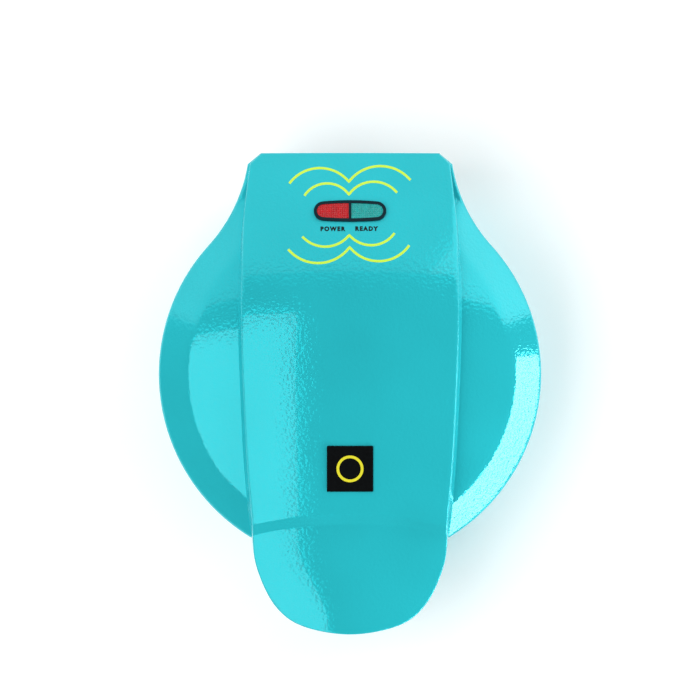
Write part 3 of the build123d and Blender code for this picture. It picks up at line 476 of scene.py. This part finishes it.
def zinc_steel(finish):
    """Zinc-plated rolled steel: pale metal with faint crystal patches and a rolling direction."""
    material, tree, spot, shader = new_material("Zinc-plated steel", {"Metallic": 1.0})
    turned = add_node(tree, "ShaderNodeMapping", {"Vector": spot, "Scale": (1.0, 0.06, 1.0)})
    rolled = noise(tree, turned.outputs["Vector"], 0.35, 3.0)
    patches = add_node(tree, "ShaderNodeTexVoronoi", {"Vector": spot, "Scale": 1 / (5.0 * MM)})
    pale = toned(finish.steel_colour)
    colour = shade(tree, patches.outputs["Distance"], toned(finish.steel_colour, 0.86), pale)
    tree.links.new(colour, shader.inputs["Base Color"])
    tree.links.new(spread(tree, rolled, 0.26, 0.4), shader.inputs["Roughness"])
    bumped(tree, shader, rolled, 0.006)
    return material


def heater_sheath():
    """Tubular heater sheath of stainless steel, oxidised by use: brown-grey with straw tints."""
    material, tree, spot, shader = new_material("Oxidised stainless sheath", {"Metallic": 1.0})
    scale = noise(tree, spot, 7.0, 4.0, 0.6)
    colour = shade(tree, scale, linear("#4b443f"), linear("#8d7c63"))
    tree.links.new(colour, shader.inputs["Base Color"])
    tree.links.new(spread(tree, scale, 0.5, 0.34), shader.inputs["Roughness"])
    bumped(tree, shader, noise(tree, spot, 0.6, 2.0), 0.01)
    return material


def foot_rubber():
    """Compression-moulded rubber: black, soft and dusty in its fine pores."""
    material, tree, spot, shader = new_material("Moulded rubber, black", {"IOR": 1.52})
    pores = noise(tree, spot, 0.4, 2.0)
    tree.links.new(shade(tree, pores, linear("#17181a"), linear("#2b2c2e")), shader.inputs["Base Color"])
    tree.links.new(spread(tree, pores, 0.7, 0.85), shader.inputs["Roughness"])
    bumped(tree, shader, pores, 0.02)
    return material


def ceramic_white():
    """White heat-proof moulding compound: smooth, off-white, faintly speckled."""
    material, tree, spot, shader = new_material("Steatite-filled compound, white", {"IOR": 1.55})
    speck = noise(tree, spot, 0.9, 4.0, 0.7)
    tree.links.new(shade(tree, speck, linear("#cfc9bd"), linear("#ece8df")), shader.inputs["Base Color"])
    tree.links.new(spread(tree, speck, 0.45, 0.6), shader.inputs["Roughness"])
    bumped(tree, shader, speck, 0.01)
    return material


def glass_sleeve():
    """Braided glass-fibre sleeve on the leads: off-white, with crossing strands about 1.6 mm apart."""
    material, tree, spot, shader = new_material("Braided glass-fibre sleeve", {"IOR": 1.5, "Roughness": 0.75})
    pair = []
    for turn in (45.0, -45.0):
        turned = add_node(tree, "ShaderNodeMapping", {"Vector": spot, "Rotation": (0, 0, math.radians(turn))})
        inputs = {"Vector": turned.outputs["Vector"], "Scale": 1 / (5.0 * MM)}
        wave = add_node(tree, "ShaderNodeTexWave", inputs)
        pair.append(wave.outputs["Fac"])
    braid = add_node(tree, "ShaderNodeMath", {0: pair[0], 1: pair[1]}, operation="MAXIMUM").outputs["Value"]
    colour = shade(tree, braid, linear("#8f897a"), linear("#e5dfce"), 0.2, 0.9)
    tree.links.new(colour, shader.inputs["Base Color"])
    bumped(tree, shader, braid, 0.06)
    return material


def lens_polycarbonate(name, colour):
    """Tinted polycarbonate lamp lens: clear gloss over a saturated colour that glows through."""
    inputs = {"IOR": 1.585, "Specular IOR Level": 0.3, "Transmission Weight": 0.1}
    inputs |= {"Emission Strength": 0.15, "Emission Color": toned(colour)}
    material, tree, spot, shader = new_material(name, inputs)
    depth = noise(tree, spot, 2.5, 2.0)
    tree.links.new(shade(tree, depth, toned(colour, 0.7), toned(colour)), shader.inputs["Base Color"])
    tree.links.new(spread(tree, depth, 0.12, 0.22), shader.inputs["Roughness"])
    bumped(tree, shader, depth, 0.02)
    return material


def bezel_abs(finish):
    """Dark teal ABS of the lamp frame, satin: a tone below the lid."""
    inputs = {"IOR": 1.54, "Specular IOR Level": 0.1}
    material, tree, spot, shader = new_material("Satin ABS, deep teal", inputs)
    grain = noise(tree, spot, 1.2, 2.0)
    colour = shade(tree, grain, toned(finish.bezel_colour, 0.85), toned(finish.bezel_colour))
    tree.links.new(colour, shader.inputs["Base Color"])
    tree.links.new(spread(tree, grain, 0.12, 0.18), shader.inputs["Roughness"])
    bumped(tree, shader, grain, 0.008)
    return material


def neon_glass():
    """Neon lamp behind its lens: clear glass with a warm tint from the electrodes."""
    inputs = {"IOR": 1.5, "Transmission Weight": 0.6}
    material, tree, spot, shader = new_material("Neon lamp glass", inputs)
    soot = noise(tree, spot, 3.0, 2.0)
    tree.links.new(shade(tree, soot, linear("#c98a5a"), linear("#f3dcc2")), shader.inputs["Base Color"])
    tree.links.new(spread(tree, soot, 0.06, 0.14), shader.inputs["Roughness"])
    return material


def badge_enamel():
    """Black enamelled badge plate: smooth gloss with a trace of orange peel."""
    inputs = {"IOR": 1.5, "Specular IOR Level": 0.25}
    material, tree, spot, shader = new_material("Badge enamel, black", inputs)
    peel = noise(tree, spot, 1.1, 2.0)
    tree.links.new(shade(tree, peel, linear("#08090a"), linear("#0d0f10")), shader.inputs["Base Color"])
    tree.links.new(spread(tree, peel, 0.07, 0.1), shader.inputs["Roughness"])
    bumped(tree, shader, peel, 0.001)
    return material


def pad_ink(name, colour, roughness):
    """Pad-printed ink or foil: a thin flat film, a little faded in small patches."""
    material, tree, spot, shader = new_material(name, {"IOR": 1.48, "Specular IOR Level": 0.25})
    film = noise(tree, spot, 0.5, 3.0)
    tree.links.new(shade(tree, film, toned(colour, 0.86), toned(colour)), shader.inputs["Base Color"])
    tree.links.new(spread(tree, film, roughness, roughness + 0.1), shader.inputs["Roughness"])
    bumped(tree, shader, film, 0.006)
    return material


def studio_floor(studio):
    """Matt white paper backdrop, lit a little from behind."""
    inputs = {"Roughness": 0.95, "IOR": 1.3}
    inputs |= {"Emission Color": (1.0, 1.0, 1.0, 1.0), "Emission Strength": 0.2}
    material, tree, spot, shader = new_material("Matt backdrop paper", inputs)
    fibre = noise(tree, spot, 4.0, 3.0)
    colour = shade(tree, fibre, toned(studio.floor_colour, 0.985), toned(studio.floor_colour))
    tree.links.new(colour, shader.inputs["Base Color"])
    return material


# ---------------------------------------------------------------- helpers for pieces
def in_scene(obj):
    bpy.context.scene.collection.objects.link(obj)
    return obj


def finish_piece(obj, material, body):
    """Gives a new piece its material, body and material slot."""
    obj.data.materials.clear()
    obj.data.materials.append(material)
    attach(obj, body)


def joined(name, parts):
    """One object from several meshes."""
    work = bmesh.new()
    for part in parts:
        work.from_mesh(part.data)
        bpy.data.meshes.remove(part.data)
    mesh = bpy.data.meshes.new(name)
    work.to_mesh(mesh)
    work.free()
    return in_scene(bpy.data.objects.new(name, mesh))


def tangent_plane(y, radius):
    """Frame of the flat on the band's spine at y: origin on the surface, turned to the band's slope."""
    tilt = -math.asin(y / radius)
    return Matrix.Translation(place((0, y, band_height(0, y)))) @ Matrix.Rotation(tilt, 4, "X")


def group_tree(name, sizes):
    """An empty Geometry Nodes tree with named size inputs and a material, and its input node."""
    tree = bpy.data.node_groups.new(name, "GeometryNodeTree")
    tree.interface.new_socket("Geometry", in_out="OUTPUT", socket_type="NodeSocketGeometry")
    for label, value in sizes.items():
        kind = "NodeSocketInt" if isinstance(value, int) else "NodeSocketFloat"
        tree.interface.new_socket(label, in_out="INPUT", socket_type=kind).default_value = value
    tree.interface.new_socket("Material", in_out="INPUT", socket_type="NodeSocketMaterial")
    return tree, add_node(tree, "NodeGroupInput")


def end_tree(tree, given, geometry):
    """Realizes what the tree made, gives it the material and sends it out."""
    real = add_node(tree, "GeometryNodeRealizeInstances", {"Geometry": geometry})
    inputs = {"Geometry": real.outputs["Geometry"], "Material": given.outputs["Material"]}
    painted = add_node(tree, "GeometryNodeSetMaterial", inputs)
    add_node(tree, "NodeGroupOutput", {"Geometry": painted.outputs["Geometry"]})


def grown(name, tree, sizes, material, matrix):
    """A plain mesh from a Geometry Nodes tree, put in its place."""
    obj = in_scene(bpy.data.objects.new(name, bpy.data.meshes.new(name)))
    modifier = obj.modifiers.new(tree.name, "NODES")
    modifier.node_group = tree
    for item in tree.interface.items_tree:
        if item.in_out == "INPUT" and item.name in sizes:
            modifier[item.identifier] = sizes[item.name]
        elif item.in_out == "INPUT" and item.name == "Material":
            modifier[item.identifier] = material
    graph = bpy.context.evaluated_depsgraph_get()
    mesh = bpy.data.meshes.new_from_object(obj.evaluated_get(graph))
    obj.modifiers.clear()
    obj.data = mesh
    mesh.transform(matrix)
    return obj


def stud_grid_tree():
    """Small pyramids in rows and columns: the moulded grid of a lamp lens."""
    sizes = {"Length": 0.01, "Width": 0.005, "Pitch": 0.001, "Height": 0.0003}
    tree, given = group_tree("lens_studs", sizes)
    counts = []
    for side in ("Length", "Width"):
        inputs = {0: given.outputs[side], 1: given.outputs["Pitch"]}
        share = add_node(tree, "ShaderNodeMath", inputs, operation="DIVIDE")
        whole = add_node(tree, "FunctionNodeFloatToInt", {0: share.outputs[0]}, rounding_mode="ROUND")
        counts.append(whole.outputs[0])
    inputs = {"Size X": given.outputs["Length"], "Size Y": given.outputs["Width"]}
    inputs |= {"Vertices X": counts[0], "Vertices Y": counts[1]}
    grid = add_node(tree, "GeometryNodeMeshGrid", inputs)
    foot = add_node(tree, "ShaderNodeMath", {0: given.outputs["Pitch"], 1: 0.6}, operation="MULTIPLY")
    inputs = {"Vertices": 4, "Radius Top": 0.15 * MM}
    inputs |= {"Radius Bottom": foot.outputs[0], "Depth": given.outputs["Height"]}
    stud = add_node(tree, "GeometryNodeMeshCone", inputs)
    turn = add_node(tree, "FunctionNodeInputVector", vector=(0.0, 0.0, math.radians(45.0)))
    inputs = {"Points": grid.outputs["Mesh"], "Instance": stud.outputs["Mesh"], "Rotation": turn.outputs[0]}
    studs = add_node(tree, "GeometryNodeInstanceOnPoints", inputs)
    end_tree(tree, given, studs.outputs["Instances"])
    return tree


def gland_rings_tree():
    """Round rings at an even pitch along a line: the grip of a cord gland."""
    sizes = {"Count": 5, "Pitch": 0.002, "Radius": 0.005, "Thickness": 0.0008}
    tree, given = group_tree("gland_rings", sizes)
    offset = add_node(tree, "ShaderNodeCombineXYZ", {"Y": given.outputs["Pitch"]})
    inputs = {"Count": given.outputs["Count"], "Offset": offset.outputs["Vector"]}
    line = add_node(tree, "GeometryNodeMeshLine", inputs)
    inputs = {"Resolution": 48, "Radius": given.outputs["Radius"]}
    path = add_node(tree, "GeometryNodeCurvePrimitiveCircle", inputs)
    inputs = {"Resolution": 12, "Radius": given.outputs["Thickness"]}
    profile = add_node(tree, "GeometryNodeCurvePrimitiveCircle", inputs)
    inputs = {"Curve": path.outputs["Curve"], "Profile Curve": profile.outputs["Curve"]}
    ring = add_node(tree, "GeometryNodeCurveToMesh", inputs)
    inputs = {"Points": line.outputs["Mesh"], "Instance": ring.outputs["Mesh"]}
    inputs["Rotation"] = (math.radians(90.0), 0.0, 0.0)
    rings = add_node(tree, "GeometryNodeInstanceOnPoints", inputs)
    end_tree(tree, given, rings.outputs["Instances"])
    return tree


def arc_through(a, b, c, steps):
    """Points on the circle through three points, from the first to the last."""
    (ax, ay), (bx, by), (cx, cy) = a, b, c
    d = 2 * (ax * (by - cy) + bx * (cy - ay) + cx * (ay - by))
    ux = ((ax**2 + ay**2) * (by - cy) + (bx**2 + by**2) * (cy - ay) + (cx**2 + cy**2) * (ay - by)) / d
    uy = ((ax**2 + ay**2) * (cx - bx) + (bx**2 + by**2) * (ax - cx) + (cx**2 + cy**2) * (bx - ax)) / d
    radius = math.hypot(ax - ux, ay - uy)
    angles = [math.atan2(y - uy, x - ux) for x, y in (a, b, c)]
    while angles[1] - angles[0] > math.pi:
        angles[1] -= 2 * math.pi
    while angles[1] - angles[0] < -math.pi:
        angles[1] += 2 * math.pi
    way = 1 if angles[1] > angles[0] else -1
    while (angles[2] - angles[1]) * way < 0:
        angles[2] += 2 * math.pi * way
    sweep = angles[2] - angles[0]
    turned = [angles[0] + sweep * i / steps for i in range(steps + 1)]
    return [Vector((ux + radius * math.cos(t), uy + radius * math.sin(t))) for t in turned]


def film_on_band(name, plan, faces, lift):
    """A closed film of ink on the band, from its plan points and faces."""
    count = len(plan)
    points = [place((x, y, band_height(x, y) + lift)) for x, y in plan]
    points += [place((x, y, band_height(x, y) - FILM_DEPTH)) for x, y in plan]
    mesh = bpy.data.meshes.new(name)
    work = bmesh.new()
    verts = [work.verts.new(p) for p in points]
    edges = {}
    for face in faces:
        work.faces.new([verts[i] for i in face])
        work.faces.new([verts[i + count] for i in reversed(face)])
        for a, b in zip(face, face[1:] + face[:1]):
            edges[(a, b)] = edges.get((a, b), 0) + 1
    for a, b in edges:
        if (b, a) not in edges:
            work.faces.new([verts[b], verts[a], verts[a + count], verts[b + count]])
    bmesh.ops.recalc_face_normals(work, faces=work.faces)
    work.to_mesh(mesh)
    work.free()
    return in_scene(bpy.data.objects.new(name, mesh))


def ribbon(name, line, width, lift):
    """A printed line of even width along plan points, with square ends."""
    left, right = [], []
    for i, p in enumerate(line):
        along = (line[min(i + 1, len(line) - 1)] - line[max(i - 1, 0)]).normalized()
        side = Vector((-along.y, along.x)) * width / 2
        left.append(p + side)
        right.append(p - side)
    plan = [tuple(p) for p in left + right]
    n = len(line)
    faces = [[i, i + n, i + n + 1, i + 1] for i in range(n - 1)]
    return film_on_band(name, plan, faces, lift)


def word(name, text, spot, height, lift):
    """A printed word on the band, centred at a plan point."""
    curve = bpy.data.curves.new(name, "FONT")
    curve.body = text
    curve.align_x = "CENTER"
    curve.align_y = "CENTER"
    curve.size = height / CAPITAL_HEIGHT
    curve.offset = STROKE_GROWTH
    curve.resolution_u = 4
    curve.space_character = LETTER_SPACING
    source = in_scene(bpy.data.objects.new(name, curve))
    graph = bpy.context.evaluated_depsgraph_get()
    mesh = bpy.data.meshes.new_from_object(source.evaluated_get(graph))
    bpy.data.objects.remove(source)
    work = bmesh.new()
    work.from_mesh(mesh)
    bmesh.ops.remove_doubles(work, verts=work.verts, dist=0.001)
    for face in work.faces:
        face.normal_update()
    plan = [(v.co.x + spot[0], v.co.y + spot[1]) for v in work.verts]
    faces = []
    for face in work.faces:
        corners = [v.index for v in face.verts]
        faces.append(corners if face.normal.z > 0 else corners[::-1])
    work.free()
    bpy.data.meshes.remove(mesh)
    return film_on_band(name, plan, faces, lift)


def ring_film(name, radius, width, thickness, matrix):
    """A raised flat ring on a plane."""
    work = bmesh.new()
    inner, outer = radius - width / 2, radius + width / 2
    section = [(inner, -FILM_DEPTH), (outer, -FILM_DEPTH), (outer, thickness), (inner, thickness)]
    rows = []
    for i in range(RING_SIDES):
        t = 2 * math.pi * i / RING_SIDES
        row = [Vector((r * math.cos(t), r * math.sin(t), z)) * MM for r, z in section]
        rows.append([work.verts.new(p) for p in row])
    for a, b in zip(rows, rows[1:] + rows[:1]):
        for i in range(4):
            work.faces.new([a[i], a[(i + 1) % 4], b[(i + 1) % 4], b[i]])
    bmesh.ops.recalc_face_normals(work, faces=work.faces)
    mesh = bpy.data.meshes.new(name)
    work.to_mesh(mesh)
    work.free()
    mesh.transform(matrix)
    return in_scene(bpy.data.objects.new(name, mesh))


def area_light(name, spot, size, turn, strength):
    """A rectangular light of even radiance, which no camera sees."""
    data = bpy.data.lights.new(name, "AREA")
    data.shape = "RECTANGLE"
    data.size, data.size_y = size
    data.energy = strength * math.pi * size[0] * size[1]
    lamp = in_scene(bpy.data.objects.new(name, data))
    lamp.location = spot
    lamp.rotation_euler = turn
    lamp.visible_camera = False


# ---------------------------------------------------------------- settings
def length(name, description, default):
    """A size in metres."""
    return bpy.props.FloatProperty(
        name=name, description=description, default=default, min=0.0, unit="LENGTH"
    )


def radiance(name, description, default):
    """A light's strength."""
    return bpy.props.FloatProperty(name=name, description=description, default=default, min=0.0)


def colour(name, description, default):
    """A colour from its sRGB hex value."""
    start = linear(default)[:3]
    return bpy.props.FloatVectorProperty(
        name=name, description=description, default=start, subtype="COLOR", size=3, min=0.0, max=1.0
    )


class DonutFinishSettings(bpy.types.PropertyGroup):
    lid_colour: colour("Lid", "Colour of the moulded lid and base", "#29bac5")
    lid_sheen: colour("Lid sheen", "Tint of the gloss on the lid", "#34f4ff")
    black_colour: colour("Black parts", "Colour of the handle covers and frames", "#141517")
    coating_colour: colour("Plate coating", "Colour of the non-stick coating", "#1c1d1f")
    steel_colour: colour("Steel", "Colour of screws, pins and shields", "#b9bcc0")
    bezel_colour: colour("Lamp frame", "Colour of the frame round the lamps", "#04262f")
    red_colour: colour("Power lens", "Colour of the power lamp's lens", "#c2101a")
    green_colour: colour("Ready lens", "Colour of the ready lamp's lens", "#14a8a4")


class DonutLensSettings(bpy.types.PropertyGroup):
    pitch: length("Grid pitch", "Distance between the lens grid's studs", 1.1 * MM)
    height: length("Grid height", "Height of the lens grid's studs", 0.28 * MM)


class DonutPrintSettings(bpy.types.PropertyGroup):
    wave_width: length("Wave width", "Width of the printed wave lines", 1.35 * MM)
    wave_colour: colour("Waves", "Colour of the printed wave lines", "#d4fa4b")
    word_height: length("Word height", "Height of the printed capitals", 2.3 * MM)
    word_colour: colour("Words", "Colour of the printed words", "#05090a")
    film: length("Ink film", "Height of the printed film over the surface", 0.05 * MM)


class DonutBadgeSettings(bpy.types.PropertyGroup):
    ring_colour: colour("Ring", "Colour of the ring on the badge", "#e6de30")
    ring_radius: length("Ring radius", "Radius of the ring on the badge", 6.6 * MM)
    ring_width: length("Ring width", "Width of the ring on the badge", 1.5 * MM)


class DonutGlandSettings(bpy.types.PropertyGroup):
    ring_thickness: length("Ring thickness", "Section radius of the rings on the cord gland", 0.7 * MM)
    ring_pitch: length("Ring pitch", "Distance between the rings on the cord gland", 2.6 * MM)


class DonutStudioSettings(bpy.types.PropertyGroup):
    camera_height: length("Camera height", "Height of the camera over the floor", 3.0)
    frame_width: length("Frame width", "Width seen by the camera at the lid's rim", 385 * MM)
    frame_middle: length("Frame middle", "How far behind the plates' middle the view is centred", 13.2 * MM)
    floor_colour: colour("Floor", "Colour of the backdrop", "#fbfbfb")
    box_light: radiance("Softbox", "Radiance of the softbox", 3.5)
    wall_light: radiance("Rear wall", "Radiance of the rear wall", 1.3)
    strip_light: radiance("Strip", "Radiance of the low strip", 19.0)
    sky_light: radiance("Room", "Light of the room", 0.12)
    exposure: bpy.props.FloatProperty(name="Exposure", description="Stops of exposure", default=-0.34)


# ---------------------------------------------------------------- pieces
class DONUT_OT_lid(bpy.types.Operator):
    """Glossy lid: a round domed body with a raised band that runs down into the handle"""

    bl_idname = "donut.lid"
    bl_label = "Lid skin"

    def execute(self, context):
        lid = joined("lid_skin", [lid_body(), lid_band()])
        smooth(lid)
        finish_piece(lid, bpy.data.materials["Gloss ABS, turquoise"], "lid")
        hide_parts("lid_shell")
        return {"FINISHED"}


class DONUT_OT_lens_grid(bpy.types.Operator):
    """Moulded grids on the power and ready lenses"""

    bl_idname = "donut.lens_grid"
    bl_label = "Lens grids"

    def execute(self, context):
        lens = context.scene.donut_lens
        tree = stud_grid_tree()
        flat = tangent_plane(LAMP_Y, BAND_REAR_R)
        margin = lens.pitch * 1.4
        for name, tint in (("power", "red"), ("ready", "green")):
            low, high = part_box(name + "_lens")
            middle = (low.x + high.x) / 2
            sizes = {
                "Length": high.x - low.x - margin,
                "Width": LENS_W * MM - margin,
                "Pitch": lens.pitch,
                "Height": lens.height,
            }
            spot = flat @ Matrix.Translation((middle, 0, LENS_TOP * MM - 0.02 * MM))
            material = bpy.data.materials["Polycarbonate lens, " + tint]
            grid = grown(name + "_lens_grid", tree, sizes, material, spot)
            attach(grid, "lid")
        return {"FINISHED"}


class DONUT_OT_printing(bpy.types.Operator):
    """Printed words and wave lines round the signal lamps"""

    bl_idname = "donut.printing"
    bl_label = "Printing"

    def execute(self, context):
        ink = context.scene.donut_print
        black = pad_ink("Pad ink, black", ink.word_colour, 0.55)
        yellow = pad_ink("Pad ink, yellow", ink.wave_colour, 0.3)
        height, film = ink.word_height / MM, ink.film / MM
        words = [word("power_word", "POWER", POWER_SPOT, height, film)]
        words.append(word("ready_word", "READY", READY_SPOT, height, film))
        finish_piece(joined("lamp_words", words), black, "lid")
        lines = []
        for arcs in WAVES:
            line = []
            for arc in arcs:
                line += arc_through(*arc, 40)[1 if line else 0 :]
            lines.append(ribbon("wave", line, ink.wave_width / MM, film))
        finish_piece(joined("wave_lines", lines), yellow, "lid")
        return {"FINISHED"}


class DONUT_OT_badge(bpy.types.Operator):
    """Plain ring on the badge plate"""

    bl_idname = "donut.badge"
    bl_label = "Badge ring"

    def execute(self, context):
        badge = context.scene.donut_badge
        flat = tangent_plane(BADGE_Y, BAND_FRONT_R)
        top = flat @ Matrix.Translation((0, 0, BADGE_TOP * MM))
        ring = ring_film("badge_ring", badge.ring_radius / MM, badge.ring_width / MM, FOIL, top)
        ink = pad_ink("Hot-stamped foil, yellow", badge.ring_colour, 0.3)
        finish_piece(ring, ink, "lid")
        return {"FINISHED"}


class DONUT_OT_gland(bpy.types.Operator):
    """Grip rings on the cord gland"""

    bl_idname = "donut.gland"
    bl_label = "Gland rings"

    def execute(self, context):
        gland = context.scene.donut_gland
        low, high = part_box("cord_gland")
        sizes = {
            "Count": GLAND_RINGS,
            "Pitch": gland.ring_pitch,
            "Radius": GLAND_R * MM,
            "Thickness": gland.ring_thickness,
        }
        start = high.y - (GLAND_RINGS - 1) * gland.ring_pitch - 1.6 * MM
        spot = Matrix.Translation(((low.x + high.x) / 2, start, (low.z + high.z) / 2))
        material = bpy.data.materials["Grained polyamide, black"]
        rings = grown("gland_rings", gland_rings_tree(), sizes, material, spot)
        smooth(rings)
        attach(rings, "base")
        return {"FINISHED"}


class DONUT_OT_finishes(bpy.types.Operator):
    """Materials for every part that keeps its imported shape"""

    bl_idname = "donut.finishes"
    bl_label = "Finishes"

    def execute(self, context):
        finish = context.scene.donut_finish
        made = {
            "turquoise_gloss": gloss_abs(finish),
            "black_plastic": grained_polyamide(finish),
            "black_coating": nonstick_coating(finish),
            "steel": zinc_steel(finish),
            "heater_steel": heater_sheath(),
            "rubber": foot_rubber(),
            "white_plastic": ceramic_white(),
            "red_lens": lens_polycarbonate("Polycarbonate lens, red", finish.red_colour),
            "green_lens": lens_polycarbonate("Polycarbonate lens, green", finish.green_colour),
            "lamp_glass": neon_glass(),
            "badge_black": badge_enamel(),
            "sleeve": glass_sleeve(),
            "bezel": bezel_abs(finish),
        }
        slots = {row["node"]: row["material_slot"] for row in FRAME["record"]["subparts"]}
        slots["lamp_bezel"] = "bezel"
        for name, obj in FRAME["nodes"].items():
            obj.data.materials.clear()
            obj.data.materials.append(made[slots[name]])
            smooth(obj, 30.0)
        return {"FINISHED"}


class DONUT_OT_studio(bpy.types.Operator):
    """Pale floor, soft studio light and a camera straight above"""

    bl_idname = "donut.studio"
    bl_label = "Studio"

    def execute(self, context):
        studio = context.scene.donut_studio
        floor_mesh = bpy.data.meshes.new("floor")
        work = bmesh.new()
        bmesh.ops.create_grid(work, x_segments=4, y_segments=4, size=FLOOR_REACH)
        work.to_mesh(floor_mesh)
        work.free()
        floor = in_scene(bpy.data.objects.new("floor", floor_mesh))
        floor_mesh.materials.append(studio_floor(studio))

        left, right, front, back = (CEILING * math.tan(math.radians(angle)) for angle in SIDE_BOX)
        middle = ((left + right) / 2, (front + back) / 2, CEILING)
        area_light("side box", middle, (right - left, back - front), (0.0, 0.0, 0.0), studio.box_light)
        upright = math.radians(90.0)
        turn = (-upright, 0.0, 0.0)
        area_light("rear wall", (-2.6, 2.1, 2.16), (8.0, 4.1), turn, studio.wall_light)
        area_light("rear right wall", (4.0, 2.1, 2.16), (5.2, 4.1), turn, 2.4 * studio.wall_light)
        swing = math.radians(STRIP_AZIMUTH)
        spot = (STRIP_AWAY * math.cos(swing), STRIP_AWAY * math.sin(swing), STRIP_Z)
        area_light("low strip", spot, (6.0, 0.56), (upright, 0.0, swing + upright), studio.strip_light)

        world = bpy.data.worlds.new("room")
        world.use_nodes = True
        world.node_tree.nodes["Background"].inputs["Color"].default_value = linear("#f4f6f8")
        world.node_tree.nodes["Background"].inputs["Strength"].default_value = studio.sky_light
        context.scene.world = world
        context.scene.view_settings.view_transform = "Standard"
        context.scene.view_settings.exposure = studio.exposure

        data = bpy.data.cameras.new("camera")
        rim = SKIRT_TOP_Z * MM
        data.lens = data.sensor_width * (studio.camera_height - rim) / studio.frame_width
        camera = in_scene(bpy.data.objects.new("camera", data))
        camera.location = (0.0, PLATES_Y + studio.frame_middle, studio.camera_height)
        context.scene.camera = camera
        return {"FINISHED"}


class DONUT_PT_panel(bpy.types.Panel):
    """Settings of the donut maker and the steps that build it"""

    bl_idname = "DONUT_PT_panel"
    bl_label = "Donut Maker"
    bl_space_type = "VIEW_3D"
    bl_region_type = "UI"
    bl_category = "Donut Maker"

    def draw(self, context):
        for name, group in SETTINGS.items():
            settings = getattr(context.scene, name)
            box = self.layout.box()
            for key in group.__annotations__:
                box.prop(settings, key)
        for step in STEPS:
            self.layout.operator(step.bl_idname)


SETTINGS = {
    "donut_finish": DonutFinishSettings,
    "donut_lens": DonutLensSettings,
    "donut_print": DonutPrintSettings,
    "donut_badge": DonutBadgeSettings,
    "donut_gland": DonutGlandSettings,
    "donut_studio": DonutStudioSettings,
}
STEPS = (
    DONUT_OT_finishes,
    DONUT_OT_lid,
    DONUT_OT_lens_grid,
    DONUT_OT_printing,
    DONUT_OT_badge,
    DONUT_OT_gland,
    DONUT_OT_studio,
)


def register():
    for group in SETTINGS.values():
        bpy.utils.register_class(group)
    for name, group in SETTINGS.items():
        setattr(bpy.types.Scene, name, bpy.props.PointerProperty(type=group))
    for step in STEPS:
        bpy.utils.register_class(step)
    bpy.utils.register_class(DONUT_PT_panel)


def unregister():
    bpy.utils.unregister_class(DONUT_PT_panel)
    for step in reversed(STEPS):
        bpy.utils.unregister_class(step)
    for name in SETTINGS:
        delattr(bpy.types.Scene, name)
    for group in reversed(SETTINGS.values()):
        bpy.utils.unregister_class(group)


def main():
    register()
    for step in STEPS:
        area, name = step.bl_idname.split(".")
        getattr(getattr(bpy.ops, area), name)()


if __name__ == "__main__":
    main()
